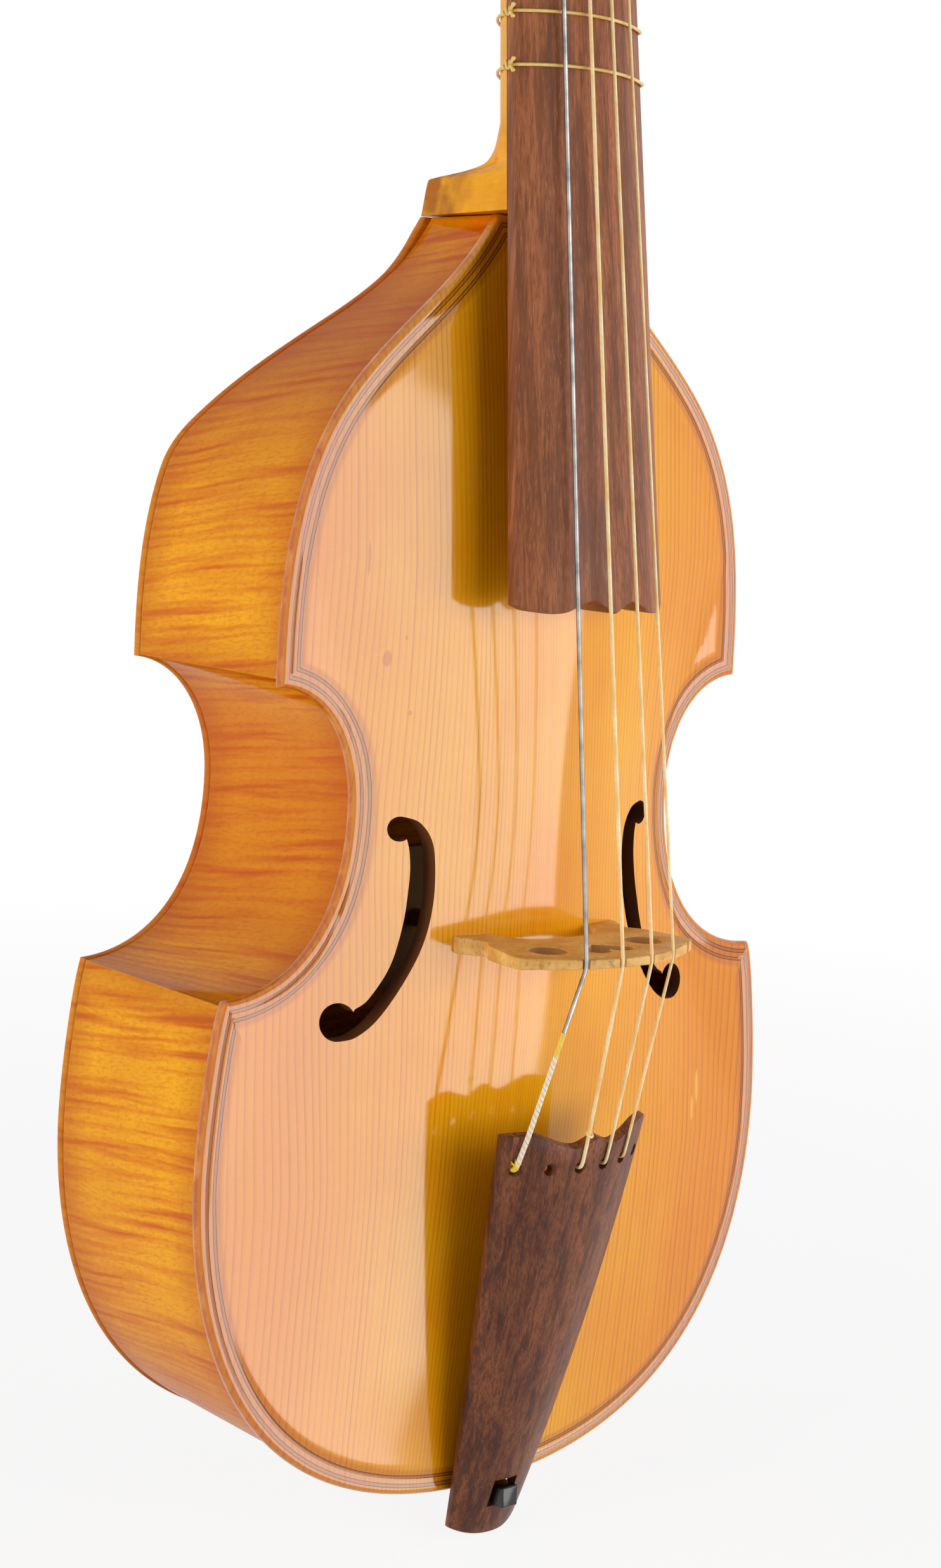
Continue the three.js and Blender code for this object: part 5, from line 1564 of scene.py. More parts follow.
# %% The pegbox
pegbox_tilt = radians(14)
pegbox_length = 95.0
pegbox_half_at_scroll = 13.0
pegbox_inset = 0.15
pegbox_corner = 3.2
chin_reach = 12.0
depth_at_nut, depth_at_chin, depth_at_scroll = 15.0, 24.0, 17.0
trough_wall = 4.6
trough_floor = 4.2
trough_corner = 1.2
pegbox_start = Vector((0, board_under(nut_height) + neck_gap, nut_height))
pegbox_along = Vector((0, sin(pegbox_tilt), cos(pegbox_tilt)))
pegbox_back = Vector((0, cos(pegbox_tilt), -sin(pegbox_tilt)))


def in_pegbox(x, along, depth):
    return pegbox_start + pegbox_along * along + pegbox_back * depth + Vector((x, 0, 0))


def pegbox_half(along):
    return mix(board_half_at_nut - pegbox_inset, pegbox_half_at_scroll, kept(along / pegbox_length))


def pegbox_depth(along):
    if along < chin_reach:
        return mix(depth_at_nut, depth_at_chin, sin(pi / 2 * kept(along / chin_reach)))
    return mix(depth_at_chin, depth_at_scroll, share_of(along, chin_reach, pegbox_length))


def pegbox_ring(along, half, near, far, corner):
    """A section of the pegbox with its two back corners rounded."""
    side = [(-half, near)]
    side += [(-half + corner * up, far - corner * out) for out, up in quarter_turn(5)]
    line = side + [(-x, depth) for x, depth in reversed(side)]
    return [tuple(in_pegbox(x, along, depth)) for x, depth in line]


def pegbox_block():
    stations = [chin_reach * k / 8 for k in range(9)]
    stations += [mix(chin_reach, pegbox_length, k / 8) for k in range(1, 9)]
    rings = [pegbox_ring(along, pegbox_half(along), 0, pegbox_depth(along), pegbox_corner)
             for along in stations]
    return block("pegbox_block", *skin(rings), neck_maple)


def pegbox_trough():
    rings = [pegbox_ring(along, pegbox_half(along) - trough_wall, -6,
                         pegbox_depth(along) - trough_floor, trough_corner)
             for along in (5, 12, 30, 50, 70, 90)]
    return block("trough", *skin(rings), neck_maple)


print("pegbox:", pegbox_length, "mm long and", 2 * round(pegbox_half(0), 2), "mm wide at the nut")

# %% [markdown]
# The scroll is made of wedges that turn about one centre. Its radius shrinks with every step
# while its sides step outward, and a shallow flute runs on both sides of the rim. The eye in
# the middle is turned on a lathe, as the pegs will be.

# %% The scroll
scroll_centre = (109.0, 5.0)
scroll_radius = 19.5
scroll_eye = 3.6
scroll_turns = 1.75
scroll_start = -0.32 * pi
scroll_neck_half = 7.0
scroll_eye_half = 15.5
scroll_narrowest = 0.42
scroll_rim = 0.8
scroll_hollow = 0.9
scroll_wedges = 5
wedge_overlap = 0.12
eye_profile = [(0, -16.2), (3.3, -16.2), (4.0, -15.6), (4.1, -14), (4.1, 14), (4.0, 15.6),
               (3.3, 16.2), (0, 16.2)]
flute_depth = 1.1


def scroll_half(share):
    if share < scroll_narrowest:
        return mix(pegbox_half_at_scroll, scroll_neck_half, kept(share / 0.3))
    return mix(scroll_neck_half, scroll_eye_half, kept((share - scroll_narrowest) / 0.5))


def scroll_section(turn):
    """A half section of the scroll at a turn: hollow flank, softened rim and two flutes."""
    whole = scroll_turns * tau
    radius = scroll_radius * exp(-log(scroll_radius / scroll_eye) * turn / whole)
    half = scroll_half(turn / whole)
    flank = [(-0.6, half)] + [(radius * k / 7, half - scroll_hollow * sin(pi * k / 7))
                              for k in range(1, 7)]
    rim = [(radius - scroll_rim, half), (radius - 0.25, half - 0.25), (radius, half - scroll_rim)]
    flute = [(radius - flute_depth * sin(pi * k / 6), (half - scroll_rim) * (1 - k / 6))
             for k in range(1, 6)]
    line = flank + rim + flute
    line = line + [(radius, 0.0)] + [(r, -x) for r, x in reversed(line)]
    angle = scroll_start + turn
    return [tuple(in_pegbox(x, scroll_centre[0] + r * sin(angle),
                            scroll_centre[1] + r * cos(angle))) for r, x in line]


def scroll_parts():
    wedges, whole = [], scroll_turns * tau
    for k in range(scroll_wedges):
        start = max(whole * k / scroll_wedges - wedge_overlap, 0)
        turns = [mix(start, whole * (k + 1) / scroll_wedges, i / 14) for i in range(15)]
        wedges.append(block("wedge", *skin([scroll_section(turn) for turn in turns]), neck_maple))
    centre = in_pegbox(0, *scroll_centre)
    return wedges + [turned("eye", eye_profile, 30, neck_maple, centre, Vector((1, 0, 0)))]


def turned(name, profile, steps, material, centre, axis):
    """A lathe piece: (radius, way along) pairs, turned about an axis through a centre."""
    up = axis.normalized()
    side = (pegbox_along - up * pegbox_along.dot(up)).normalized()
    third = up.cross(side)
    rings = [[centre + up * way + side * radius * cos(turn) + third * radius * sin(turn)
              for turn in even_turns(steps)] for radius, way in profile if radius > 0]
    tips = [centre + up * way for way in (profile[0][1], profile[-1][1])]
    return block(name, *tipped_skin(rings, tips), material)


print("scroll:", scroll_turns, "turns in", scroll_wedges, "wedges")

# %% [markdown]
# Six pegs pass through the pegbox, three from each side, in tapered holes that leave them a
# little room. Neck, pegbox and scroll are joined first, and then the trough and the holes are
# cut out of the whole.

# %% The head, joined and drilled
peg_names = ["peg_%s_%d" % (side, row) for row in (1, 2, 3) for side in ("bass", "treble")]
first_peg = 18.0
peg_pitch = 13.0
peg_line = 8.8
peg_radius = 3.4
peg_tip_radius = 2.8
peg_tip_reach = 2.0
peg_room = 0.42
drill_reach = 6


def peg_station(name):
    return first_peg + peg_pitch * peg_names.index(name)


def peg_reach(name):
    return pegbox_half(peg_station(name)) + peg_tip_reach


def peg_lathe(name):
    """Where a peg's axis crosses the middle of the pegbox, and which way the peg points."""
    return in_pegbox(0, peg_station(name), peg_line), Vector((-1 if "bass" in name else 1, 0, 0))


def peg_hole(name):
    reach = peg_reach(name) + drill_reach
    profile = [(0, -reach), (peg_tip_radius + peg_room, -reach), (peg_radius + peg_room, reach),
               (0, reach)]
    return turned("peg_hole", profile, 36, neck_maple, *peg_lathe(name))


carve(neck, [pegbox_block()] + scroll_parts(), "UNION")
carve(neck, [pegbox_trough()] + [peg_hole(name) for name in peg_names])
neck.name = "neck_and_scroll_wood"
seat_on(neck, "body", "neck_maple", "neck_and_scroll")
print("neck with its head:", len(neck.data.polygons), "faces")

# %% [markdown]
# A peg is turned on the lathe: a tapered shaft, a collar with a bead, and a slim stem. Its
# thumb piece is a flat leaf, hollowed on both faces, with a small knob at the end.

# %% The pegs
leaf_length = 21.0
leaf_half = 10.0
leaf_thickness = 3.4
leaf_swell = 0.62
leaf_rows = 10
collar_gap = 0.35
collar_beads = [(peg_radius, -1.0), (peg_radius + 0.6, -0.5), (4.7, -0.1), (5.0, 0.35),
                (5.0, 1.3), (4.5, 1.8), (3.1, 2.2), (2.9, 2.7), (3.3, 3.2), (3.3, 3.8),
                (2.8, 4.3), (2.35, 6.5)]
stem_length = 9.0


def leaf(centre, axis):
    """A flat round leaf with hollowed faces; its outer rim is thicker than its middle."""
    rings = []
    for row in range(1 - leaf_rows, leaf_rows):
        lean = pi / 2 * row / leaf_rows
        out, lift = cos(lean), sin(lean)
        hollow = leaf_swell + (1 - leaf_swell) * out ** 4
        rings.append([centre + axis * (leaf_length / 2 - 1) * out * sin(turn)
                      + pegbox_back * leaf_half * out * cos(turn) * (1 + 0.06 * sin(turn))
                      + pegbox_along * leaf_thickness * leaf_swell * lift * hollow
                      for turn in even_turns(36)])
    tips = [centre + pegbox_along * leaf_thickness * leaf_swell ** 2 * side for side in (-1, 1)]
    return block("leaf", *tipped_skin(rings, tips), peg_rosewood)


def peg(name):
    reach, wall = peg_reach(name), pegbox_half(peg_station(name))
    centre, axis = peg_lathe(name)
    collar = wall + collar_gap + 0.5 * peg_radius
    stem = collar + stem_length
    profile = [(0, -reach), (peg_tip_radius * 0.8, -reach), (peg_tip_radius, -reach + 0.8),
               (mix(peg_tip_radius, peg_radius, 0.5), 0)]
    profile += [(radius, collar + out) for radius, out in collar_beads]
    profile += [(2.4, stem), (2.0, stem + 2.0), (0, stem + 2.6)]
    piece = turned(name + "_wood", profile, 32, peg_rosewood, centre, axis)
    tip = stem + leaf_length - peg_radius / 2
    knob = [(0, tip - 3.2), (0.8, tip - 3.1), (1.15, tip - 2.2), (1.3, tip - 1.3), (1.0, tip - 0.5),
            (0.5, tip - 0.1), (0, tip)]
    middle = stem + leaf_length / 2 - peg_radius / 2 - 0.6
    carve(piece, [leaf(centre + axis * middle, axis),
                  turned("knob", knob, 20, peg_rosewood, centre, axis)], "UNION")
    return seat_on(piece, name, "rosewood", name)


pegs = {name: peg(name) for name in peg_names}
print("pegs:", len(pegs), "with", len(pegs["peg_bass_1"].data.polygons), "faces each")

# %% [markdown]
# The tailpiece is an arched wedge of the same rosewood. Its upper end has the same kind of
# scallops as the fingerboard, and its lower end is round. Six holes with eased rims take the
# strings, and a slot near the lower end takes the hook.

# %% The tailpiece
tail_top = -51.0
tail_bottom = -182.7
tail_halves = (28.0, 12.8)
tail_lifts = (33.0, 0.9)
tail_arches = (11.0, 5.2)
tail_width_bow = 1.2
tail_height_bow = 1.9
tail_scallop_depth = 3.5
tail_thickness = 3.6
tail_middle_half = 22
tail_hole_height = -61.6
tail_hole_spacing = 9.3
tail_hole_radius = 1.6
tail_scallops = [(0, 0.49), (0.1, 0.8), (0.22, 1.17), (0.34, 1.1), (0.5, 0.62), (0.7, 0),
                 (0.88, 0.03), (1, 0.17)]
mortise_half = 4.4
mortise_height = (-175.3, -166.0)


def tail_share(z):
    return share_of(z, tail_top, tail_bottom)


def tail_half(z):
    share = tail_share(z)
    return mix(*tail_halves, share) + tail_width_bow * 4 * share * (1 - share)


def tail_edge_y(z):
    share = tail_share(z)
    return -body_depth - mix(*tail_lifts, share) - tail_height_bow * 4 * share * (1 - share)


def tail_surface(x, z):
    return tail_edge_y(z) - mix(*tail_arches, tail_share(z)) * (1 - (x / tail_half(z)) ** 2)


def tail_cutters():
    cutters = []
    for slot in all_slots:
        x = slot * tail_hole_spacing
        rim = Vector((x, tail_surface(x, tail_hole_height), tail_hole_height))
        profile = [(0, -12), (tail_hole_radius, -12), (tail_hole_radius, -0.5),
                   (tail_hole_radius + 0.15, -0.25), (tail_hole_radius + 0.55, 0.25),
                   (tail_hole_radius + 0.8, 1.2), (0, 1.2)]
        cutters.append(turned("hole", profile, 28, board_rosewood, rim, Vector((0, -1, 0))))
    low, high = mortise_height
    outline = [(-mortise_half, low), (mortise_half, low), (mortise_half, high),
               (-mortise_half, high)]
    front = tail_surface(0, high) - 6
    return cutters + [cutter("mortise", outline, front, front + 18, board_rosewood)]


def tailpiece():
    slope = (tail_lifts[0] - tail_lifts[1]) / (tail_top - tail_bottom)
    scallop = smooth_table(tail_scallops)
    across = softened(60, tail_middle_half)
    levels = [(0, 0.5), (0.0012, 0.18), (0.0035, 0)] + [(i / 26, 0) for i in range(1, 26)]
    levels += [(0.9955, 0), (0.9985, 0.18), (1, 0.5)]
    stations = []
    for share, pinch in levels:
        top, under = [], []
        for place in across:
            start = tail_top - scallop(place) * tail_scallop_depth
            end = tail_bottom - tail_scallop_depth * 0.74 * (1 - abs(place) ** 3)
            z = mix(start, end, share)
            x = place * tail_half(z)
            low = drop_at(place, tail_middle_half)
            thin = tail_thickness * (1 - 0.3 * place ** 2)
            y = tail_surface(x, z)
            top.append((x, y + low + pinch, z))
            under.append((x * 0.98, y + thin - low * 0.6 - pinch * 0.4,
                          z + thin * slope * (1 - share)))
        stations.append((top, under))
    piece = strip_piece("tailpiece_wood", stations, board_rosewood)
    carve(piece, tail_cutters())
    return seat_on(piece, "body", "rosewood", "tailpiece")


tail = tailpiece()
print("tailpiece:", len(tail.data.polygons), "faces")

# %% [markdown]
# The hook bar stands against the bottom ribs. Its tip comes over the edge of the belly and
# holds the tailpiece. The bar is one profile, six millimetres wide, and a fine bevel softens
# all its edges.

# %% The hook bar
hook_half = 3.1
hook_tip = (-168.0, -174.6)
hook_rise = 13.6
hook_depth = 6.6
hook_length = 57.5
hook_bevel = 0.7


def hook_bar():
    rib_z = bottom[1] + rib_near - 0.3
    edge_z = bottom[1] - 0.3
    outer_z = rib_z - hook_depth
    tip_y = body_depth + hook_rise
    end_y = tip_y - hook_length
    outline = [(end_y, rib_z), (body_depth - 4.3, rib_z), (body_depth - 4.3, edge_z),
               (body_depth + 0.3, edge_z), (body_depth + hook_depth / 3, hook_tip[0]),
               (tip_y, hook_tip[0]), (tip_y, hook_tip[1]),
               (body_depth + hook_depth * 0.53, hook_tip[1]), (body_depth + 0.5, outer_z),
               (end_y + hook_depth / 3, outer_z), (end_y, outer_z + hook_depth / 3)]
    rings = [[(x, -y, z) for y, z in outline] for x in (-hook_half, hook_half)]
    piece = block("hook_wood", *skin(rings), ebony)
    bevel = piece.modifiers.new("edges", "BEVEL")
    bevel.width = hook_bevel * MM
    bevel.segments = 4
    bevel.limit_method = "ANGLE"
    bevel.angle_limit = radians(25)
    settle(piece)
    shade(piece.data)
    return seat_on(piece, "body", "ebony", "hook_bar")


hook = hook_bar()
print("hook bar:", len(hook.data.polygons), "faces")

# %% [markdown]
# The bridge is drawn flat, as its maker would saw it: outline, heart and two eyes. Heights
# are counted from the back's face, and the soles of the feet follow the arch of the belly.

# %% The outline of the bridge
bridge_half = 33.4
bridge_top = 133.6
bridge_drop = 13.0
bridge_spacing = 11.2
bridge_foot = (18.3, 30.5)
bridge_foot_z = (-1.9, 3.1)
bridge_top_z = (0.0, 2.6)
bridge_eye = (18.4, 115.5, 5.6)
notch_half = 1.08
notch_depth = 0.9
bridge_bevel = 0.32
heart_lobe = 4.3
heart_half = 8.6
heart_top = 8.8
heart_point = 20.0


def bridge_height(x):
    return bridge_top - bridge_drop * (x / bridge_half) ** 2


def foot_height(x, z=0.0):
    return body_depth + arch_lift(x, z)


def bridge_line():
    """Half of the outline, from the middle of the arch below to the middle of the top."""
    inner, outer = bridge_foot
    base, side = foot_height(inner), foot_height(outer)
    waist_up = side + 11.0
    arch = curve_through([(0, base + 12.6), (inner * 0.4, base + 11.8), (inner * 0.78, base + 8.7),
                          (inner - 0.8, base + 3.1), (inner, base)], 24)
    sole = [(mix(inner, outer, i / 8), foot_height(mix(inner, outer, i / 8))) for i in range(1, 9)]
    shoulder = bridge_height(bridge_half)
    ankle = curve_through([(outer, side + 2.6), (28.6, mix(side, waist_up, 0.6)), (27.3, waist_up),
                           (29.9, waist_up + 3.9),
                           (bridge_half - notch_half, mix(waist_up, shoulder, 0.65)),
                           (bridge_half, shoulder - notch_depth)], 30)
    top = [(bridge_half - notch_half, bridge_height(bridge_half - notch_half))]
    for slot in (2.5, 1.5, 0.5):
        x = slot * bridge_spacing
        for k in range(9):
            across = 1 - k / 4
            fall = notch_depth * sqrt(1 - across ** 2) if abs(across) < 1 else 0.0
            top.append((x + across * notch_half, bridge_height(x + across * notch_half) - fall))
        gap = x - bridge_spacing / 2
        if gap > 1:
            top.append((gap, bridge_height(gap)))
    return arch[:-1] + [(inner, base)] + sole + ankle + top


def bridge_heart():
    """Down one side a bent line to the point, and over the top a round lobe."""
    lobe_height = bridge_top - heart_top - heart_lobe
    point = bridge_top - heart_point
    line = []
    for k in range(13):
        t = k / 12
        line.append((2 * t * (1 - t) * heart_lobe + t * t * heart_half,
                     (1 - t) ** 2 * point + 2 * t * (1 - t) * (point + 3.4) + t * t * lobe_height))
    for k in range(1, 15):
        turn = pi * 0.85 * k / 14
        line.append((heart_lobe * (1 + cos(turn)), lobe_height + heart_lobe * sin(turn)))
    line.append((0, lobe_height + heart_lobe * 0.1))
    return line + [(-x, h) for x, h in line[-2:0:-1]]


print("bridge outline:", 2 * len(bridge_line()), "points")

# %% [markdown]
# The curve is filled and given a softened edge. Then every point is moved: the plate is
# thinned towards the top, and the soles are cut to the belly. The sawn walls of heart and eyes
# take a rougher, darker finish than the face: browner sawn wood with a painted shade inside
# the openings.

# %% The bridge


def flat_curve(loops, half_thickness, bevel):
    """A filled flat curve with a softened edge, as plain points and faces."""
    curve = bpy.data.curves.new("drawing", "CURVE")
    curve.dimensions = "2D"
    curve.fill_mode = "BOTH"
    curve.extrude = half_thickness - bevel
    curve.bevel_depth = bevel
    curve.bevel_resolution = 2
    curve.offset = -bevel
    for loop in loops:
        spline = curve.splines.new("POLY")
        spline.points.add(len(loop) - 1)
        for point, (x, h) in zip(spline.points, loop):
            point.co = (x, h, 0, 1)
        spline.use_cyclic_u = True
    holder = bpy.data.objects.new("drawing", curve)
    mesh = bpy.data.meshes.new_from_object(holder)
    points = [vertex.co.copy() for vertex in mesh.vertices]
    faces = [tuple(face.vertices) for face in mesh.polygons]
    bpy.data.objects.remove(holder)
    return points, faces


def bridge():
    half = bridge_line()
    loop = half + [(-x, h) for x, h in half[:0:-1]]
    eye_x, eye_height, eye_radius = bridge_eye
    loops = [loop, bridge_heart(), circle(eye_x, eye_height, eye_radius),
             circle(-eye_x, eye_height, eye_radius)]
    points, faces = flat_curve(loops, 1.0, bridge_bevel)
    moved = []
    for x, h, w in points:
        share = kept(share_of(h, body_depth + arch_height * 0.7, bridge_top))
        z = mix(mix(bridge_foot_z[0], bridge_top_z[0], share),
                mix(bridge_foot_z[1], bridge_top_z[1], share), (w + 1) / 2)
        if abs(x) > bridge_foot[0] - 0.3 and h < foot_height(x) + 0.6:
            h = foot_height(x, z) + 0.02
        moved.append((x, -h, z))
    piece = block("bridge_wood", moved, faces, bridge_maple)
    piece.data.materials.append(sawn_maple)
    for face in piece.data.polygons:
        x, h = face.center.x / MM, -face.center.y / MM
        in_eye = hypot(abs(x) - eye_x, h - eye_height) < eye_radius + 0.05
        in_heart = (abs(x) < heart_half + 0.3
                    and heart_top - 0.3 < bridge_top - h < heart_point + 0.2)
        if in_eye or in_heart:
            face.material_index = int(abs(face.normal.z) < 0.3)
    return seat_on(piece, "body", "bridge_maple", "bridge")


bridge_wood = bridge()
print("bridge:", len(bridge_wood.data.polygons), "faces")

# %% [markdown]
# Strings, frets and windings are all round strands along a path. One geometry tree makes them:
# it turns a line of points into a curve, runs a circle along it whose size is stored on each
# point, and keeps for each point how far along and how far round it lies.

# %% A tree for strands
strand_sides = 14


def make_strand_tree():
    tree, bench, path, given = tree_with_inputs("strand", {
        "Sides": ("NodeSocketInt", strand_sides), "Material": ("NodeSocketMaterial", None)})
    line = bench.node("GeometryNodeMeshToCurve", {0: path})
    ring = bench.node("GeometryNodeCurvePrimitiveCircle", {0: given["Sides"], 4: 1.0},
                      mode="RADIUS")
    turn = Value(bench, bench.node("GeometryNodeSplineParameter").outputs[0]) * tau
    shape = ring.outputs[0]
    for name, way in (("around_sine", "SINE"), ("around_cosine", "COSINE")):
        stored = bench.node("GeometryNodeStoreNamedAttribute",
                            {0: shape, 2: name, 3: bench.math(way, turn)},
                            data_type="FLOAT", domain="POINT")
        shape = stored.outputs[0]
    thickness = stored_number(bench, "thickness")
    strand = bench.node("GeometryNodeCurveToMesh",
                        {0: line.outputs[0], 1: shape, 2: thickness, 3: True})
    smooth = bench.node("GeometryNodeSetShadeSmooth", {0: strand.outputs[0]})
    hand_over(bench, smooth.outputs[0], given["Material"])
    return tree


strand_tree = make_strand_tree()


def rounded_path(points, reach, steps=5):
    """The path with each bend eased over a short reach."""
    points = [Vector(point) for point in points]
    eased = [points[0]]
    for before, here, after in zip(points, points[1:], points[2:]):
        near = min(reach, (here - before).length / 2.2, (after - here).length / 2.2)
        start = here + (before - here).normalized() * near
        end = here + (after - here).normalized() * near
        for step in range(steps + 1):
            t = step / steps
            eased.append(start * (1 - t) ** 2 + here * 2 * t * (1 - t) + end * t * t)
    return eased + [points[-1]]


def strand_piece(name, strands, material, **numbers):
    """Grows strands, each a (points, thickness or list of them, closed) triple, into one piece."""
    points, edges, thickness, along = [], [], [], []
    for path, thick, closed in strands:
        base, length = len(points), 0.0
        for i, point in enumerate(path):
            length += (Vector(point) - Vector(path[i - 1])).length if i else 0.0
            points.append(Vector(point) * MM)
            along.append(length)
            thickness.append((thick[i] if isinstance(thick, list) else thick) * MM)
            if i:
                edges.append((base + i - 1, base + i))
        if closed:
            edges.append((len(points) - 1, base))
    mesh = bpy.data.meshes.new(name)
    mesh.from_pydata(points, edges, [])
    for key, values in {"thickness": thickness, "along": along, **numbers}.items():
        stored = mesh.attributes.new(key, "FLOAT", "POINT")
        stored.data.foreach_set("value", values)
    piece = new_piece(name, mesh, material)
    return grow(piece, strand_tree, material=material, sides=strand_sides)


print("strand tree:", len(strand_tree.nodes), "nodes")

# %% [markdown]
# Each string comes from its peg, lies in its groove in the nut, crosses the bridge in a notch
# and dives through its hole in the tailpiece, where a knot holds it. The two outermost strings
# are missing, so the wound string is the lowest that is left.

# %% Paths of the strings
wound_string, hitched_string = "string_2", "string_3"
string_radius = {"string_2": 0.65, "string_3": 0.55, "string_4": 0.5, "string_5": 0.45}
string_slot = {"string_2": -1.5, "string_3": -0.5, "string_4": 0.5, "string_5": 1.5}
tail_slot = {**string_slot, wound_string: -2.5}
string_peg = {"string_2": "peg_bass_2", "string_3": "peg_bass_3", "string_4": "peg_treble_3",
              "string_5": "peg_treble_2"}
seat_gap = 0.02
knot_bulge = {0.1: 1.0, 0.5: 1.35, 1.0: 1.5, 1.5: 1.35, 1.9: 0.6}
winding_turns = 3
winding_gap = 0.5
winding_lift = 0.12
winding_spacing = 5.0
winding_steps = 30


def winding_radius(name):
    reach = peg_reach(string_peg[name])
    across = abs(string_slot[name] * winding_spacing) \
        + (2 * string_radius[name] + winding_gap) * winding_turns / 2
    wood = mix(peg_tip_radius, peg_radius, share_of(across, -reach, reach))
    return wood + winding_lift + string_radius[name]


def above_tail(x, z, clearance):
    """A point just above the arched surface of the tailpiece."""
    steep = 2 * mix(*tail_arches, tail_share(z)) * x / tail_half(z) ** 2
    return Vector((x, tail_surface(x, z) - clearance * hypot(1, steep), z))


def string_path(name):
    radius = string_radius[name]
    start = in_pegbox(string_slot[name] * winding_spacing, peg_station(string_peg[name]),
                      peg_line - winding_radius(name) - 2 * radius - 0.35)
    x = string_slot[name] * nut_spacing
    nut_y = board_top(x, nut_height) - nut_rise + groove_depth - radius - seat_gap
    nut_points = [(x, nut_y, nut_height + nut_length), (x, nut_y, nut_height)]
    x = string_slot[name] * bridge_spacing
    bridge_y = -(bridge_height(x) - notch_depth + radius + seat_gap)
    bridge_points = [(x, bridge_y, bridge_top_z[1]), (x, bridge_y, bridge_top_z[0])]
    hole_x = tail_slot[name] * tail_hole_spacing
    lip = tail_hole_height + tail_hole_radius
    edge_x = mix(x, hole_x, share_of(tail_top, 0, lip))
    hole_y = tail_surface(hole_x, tail_hole_height)
    down = [(hole_x, hole_y - radius * 0.4, tail_hole_height + 0.3),
            (hole_x, hole_y + tail_thickness + radius, tail_hole_height)]
    over_tail = [above_tail(edge_x, tail_top, radius + 0.1),
                 above_tail(hole_x, lip + 0.4, radius + 0.05)]
    return [start] + nut_points + bridge_points + over_tail + down


print("strings:", [round(2 * radius, 2) for radius in string_radius.values()], "mm thick")

# %% [markdown]
# Each string is one strand with its knot, and its turns on the peg are a second one, which
# rides on the peg. One string has its own end hitched round it at the edge of the tailpiece.

# %% The strings


def hitch(path, radius):
    """A turn of the string's own end, thrown round it at the edge of the tailpiece."""
    i = min(range(len(path)), key=lambda k: abs(path[k].z - tail_top - 0.6))
    along = (path[i + 1] - path[i - 1]).normalized()
    side = Vector((1, 0, 0))
    lift = along.cross(side).normalized()
    lift = lift if lift.y < 0 else -lift
    ring = [path[i] + lift * radius * 0.5 + along * 0.4 * sin(turn)
            + (side * cos(turn) + lift * sin(turn)) * radius * 1.5
            for turn in even_turns(16)]
    return ring, radius * 0.75, True


def string_piece(name, material, slot):
    radius = string_radius[name]
    path = rounded_path(string_path(name), 1.6)
    knot = [path[-1] + Vector((0, behind, 0)) for behind in knot_bulge]
    thick = [radius] * len(path) + [radius * share for share in knot_bulge.values()]
    strands = [(path + knot, thick, False)]
    if name == hitched_string:
        strands.append(hitch(path, radius))
    piece = strand_piece(name + "_strand", strands, material)
    seat_on(piece, "body", slot, name)
    return path


def winding(name, material, slot):
    radius, peg_name = winding_radius(name), string_peg[name]
    pitch = 2 * string_radius[name] + winding_gap
    side = copysign(1, string_slot[name])
    path = []
    for i in range(winding_turns * winding_steps + 1):
        turn = i / winding_steps
        x = string_slot[name] * winding_spacing + side * (turn - winding_turns / 2) * pitch
        path.append(in_pegbox(x, peg_station(peg_name) + radius * sin(turn * tau),
                              peg_line - radius * cos(turn * tau)))
    piece = strand_piece(name + "_coil", [(path, string_radius[name], False)], material)
    seat_on(piece, peg_name, slot, name + "_winding")


string_paths = {}
for name in string_radius:
    material, slot = (silver_wire, "silver_wound_gut") if name == wound_string else (gut, "gut")
    string_paths[name] = string_piece(name, material, slot)
    winding(name, material, slot)
print("string paths:", [len(path) for path in string_paths.values()], "points")

# %% [markdown]
# A wrap of silk keeps the wound string from fraying. It follows the string from a little below
# the bridge to the tailpiece, and its loose hairs stand out at the hole. Their lean comes from
# a fixed seed, so they fall the same way each time.

# %% The silk wrap
silk_start = -19.0
silk_thickness = 0.14
tuft_hairs = 16
hair_steps = (0, 0.35, 0.7, 1.0, 1.3)
hair_radii = [0.24, 0.24, 0.2, 0.16, 0.08]


def silk_wrap():
    path = string_paths[wound_string]
    first = next(i for i, point in enumerate(path) if point.z < silk_start)
    share = share_of(silk_start, path[first - 1].z, path[first].z)
    wrapped = [path[first - 1].lerp(path[first], share)] + path[first:-1]
    radius = string_radius[wound_string] + silk_thickness
    thick = [radius * 0.88] + [radius] * (len(wrapped) - 1)
    strands = [(wrapped, thick, False)]
    tuft = [0.0] * len(wrapped)
    rng = random.Random(11)
    root = above_tail(tail_slot[wound_string] * tail_hole_spacing, tail_hole_height + 1.4, 0.2)
    for _ in range(tuft_hairs):
        lean = Vector((rng.uniform(-1.2, 0.7), -rng.uniform(0.2, 0.9), rng.uniform(-0.7, 1.3)))
        bend = Vector((rng.uniform(-0.5, 0.5), rng.uniform(-0.1, 0.5), rng.uniform(-0.6, 0.6)))
        strands.append(([root + lean * t + bend * t * t for t in hair_steps], hair_radii, False))
        tuft += [1.0] * len(hair_steps)
    piece = strand_piece("string_2_silk", strands, silk, tuft=tuft)
    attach(piece, "body")


silk_wrap()
print("silk wrap with", tuft_hairs, "loose hairs")

# %% [markdown]
# A fret is a gut strand tied round neck and fingerboard. Its path is the outline of the neck's
# section, pushed out by the strand's own radius and a small clearance so that the fret can be
# slid. It is tied on the bass side: two short tails leave the knot, and their burnt ends swell
# into small balls.

# %% The frets
fret_radius = 0.47
fret_clearance = 0.3
fret_count = 7
fret_coil = 0.42
fret_tail_radii = [0.4, 0.4, 0.42, 0.62, 0.6, 0.3]


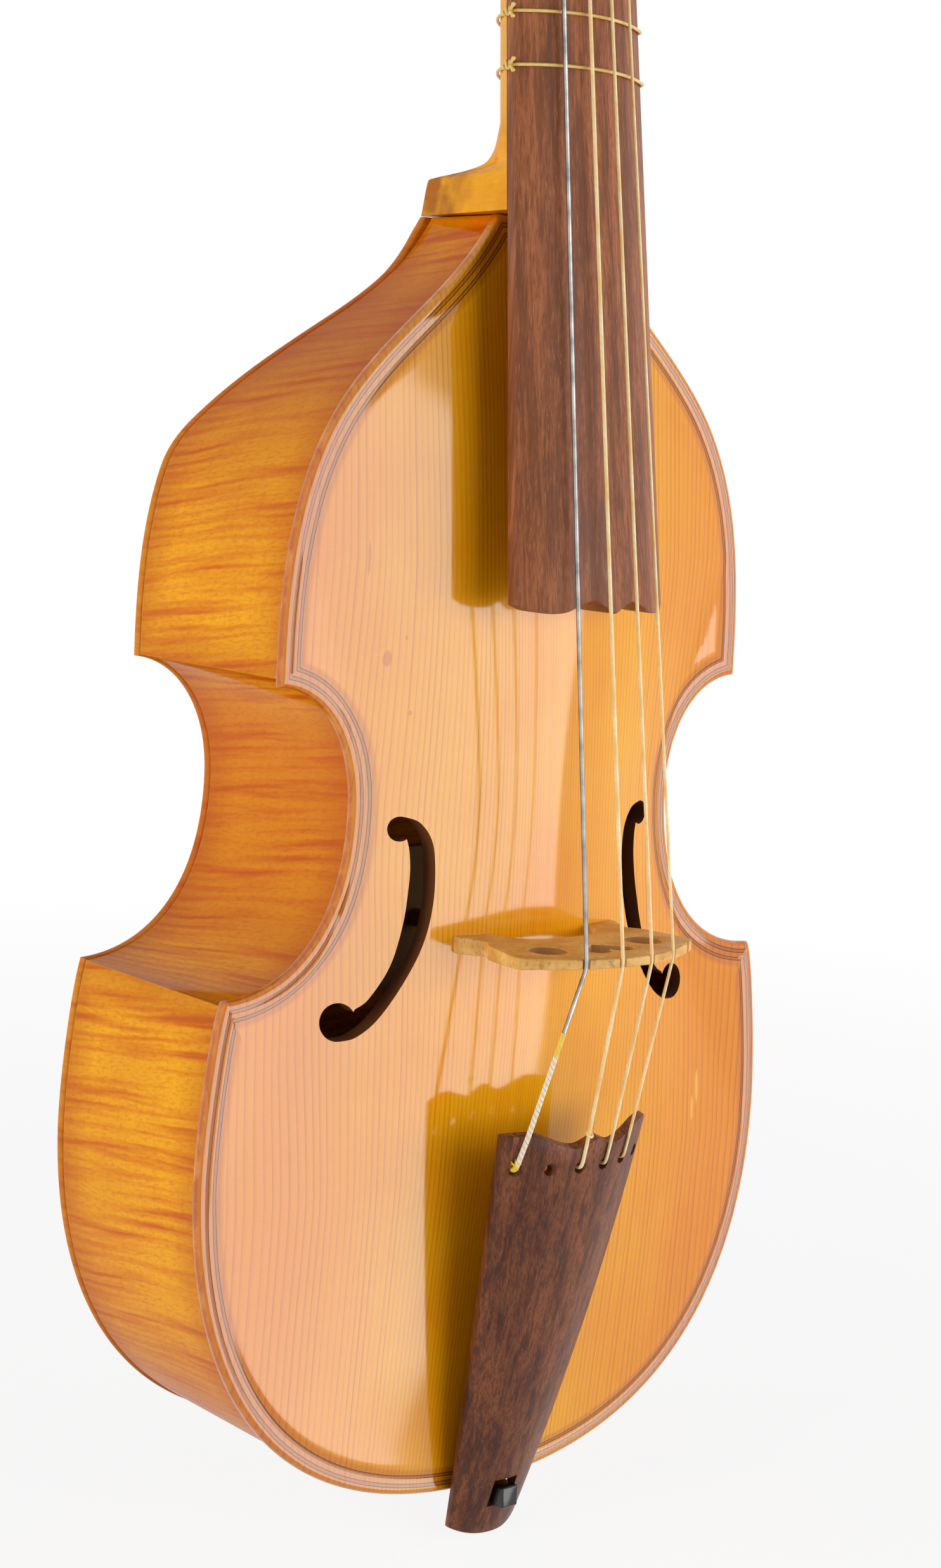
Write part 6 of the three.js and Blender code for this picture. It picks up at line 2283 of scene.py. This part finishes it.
def fret_section(z):
    half = board_half(z)
    places = [mix(-half, half, i / 24) for i in range(25)]
    top = [Vector((x, board_top(x, z), 0)) for x in places]
    back_depth = mix(neck_depth, neck_depth_at_nut, share_of(z, heel_top, nut_height))
    shaft = [Vector((x, y, 0)) for x, y, _ in neck_ring(z, back_depth, half, neck_power)]
    treble, bass = (Vector((x, board_under(z), 0)) for x in (half, -half))
    return top + [treble] + shaft[-4:3:-1] + [bass]


def fret_loop(z):
    section = fret_section(z)
    clear = fret_radius + fret_clearance
    tilt = (board_lift + board_drop_at_nut) / (nut_height - board_lower)
    moved = []
    for i, point in enumerate(section):
        before, after = section[i - 1], section[(i + 1) % len(section)]
        one = Vector((point.y - before.y, before.x - point.x, 0)).normalized()
        two = Vector((after.y - point.y, point.x - after.x, 0)).normalized()
        moved.append(point + (one + two) * (clear / (1 + one.dot(two))))
    for _ in range(2):
        moved = [here.lerp(after, share) for here, after in zip(moved, moved[1:] + moved[:1])
                 for share in (0.25, 0.75)]
    return [Vector((p.x, p.y, z - (p.y - board_edge_y(z)) * tilt)) for p in moved]


def fret(number):
    z = nut_height * 2 ** (-number / 12)
    loop = fret_loop(z)
    half = board_half(z)
    knot_y = mix(board_edge_y(z), board_under(z), 0.55)
    centre = Vector((-half - fret_clearance - fret_radius, knot_y, z))
    coil = [centre + Vector((-0.5 - 0.35 * cos(turn), mix(-1.5, 1.5, turn / (4 * pi)),
                             1.0 * sin(turn)))
            for turn in (4 * pi * k / 32 for k in range(33))]
    strands = [(loop, fret_radius, True), (coil, fret_coil, False)]
    for lift, bow in ((0.55, 0.9), (-0.45, -1.1)):
        tail = ((-0.3, -1.1, 0), (-0.75, -1.9, bow * 0.4), (-0.9, -2.5, bow),
                (-0.85, -2.9, bow + lift), (-0.8, -3.1, bow + lift * 1.6),
                (-0.8, -3.2, bow + lift * 2.0))
        strands.append(([centre + Vector(place) for place in tail], fret_tail_radii, False))
    node = "fret_%d" % number
    piece = strand_piece(node + "_gut", strands, fret_gut)
    return seat_on(piece, node, "fret_gut", node)


frets = [fret(number + 1) for number in range(fret_count)]
print("frets:", len(frets), "with", len(frets[0].data.polygons), "faces each")

# %% [markdown]
# The linings, blocks, braces, bass bar and sound post inside the body are seen only through
# the sound holes. Their frame shapes are fine as they are, and they take the raw wood.

# %% Inner pieces
inner_starts = ("lining", "corner_block", "top_block", "bottom_block", "bass_bar", "sound_post",
                "back_brace")
inner_pieces = [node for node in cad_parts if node.startswith(inner_starts)]
for node in inner_pieces:
    for material_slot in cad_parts[node].material_slots:
        material_slot.material = inner_wood
print("inner pieces:", len(inner_pieces))
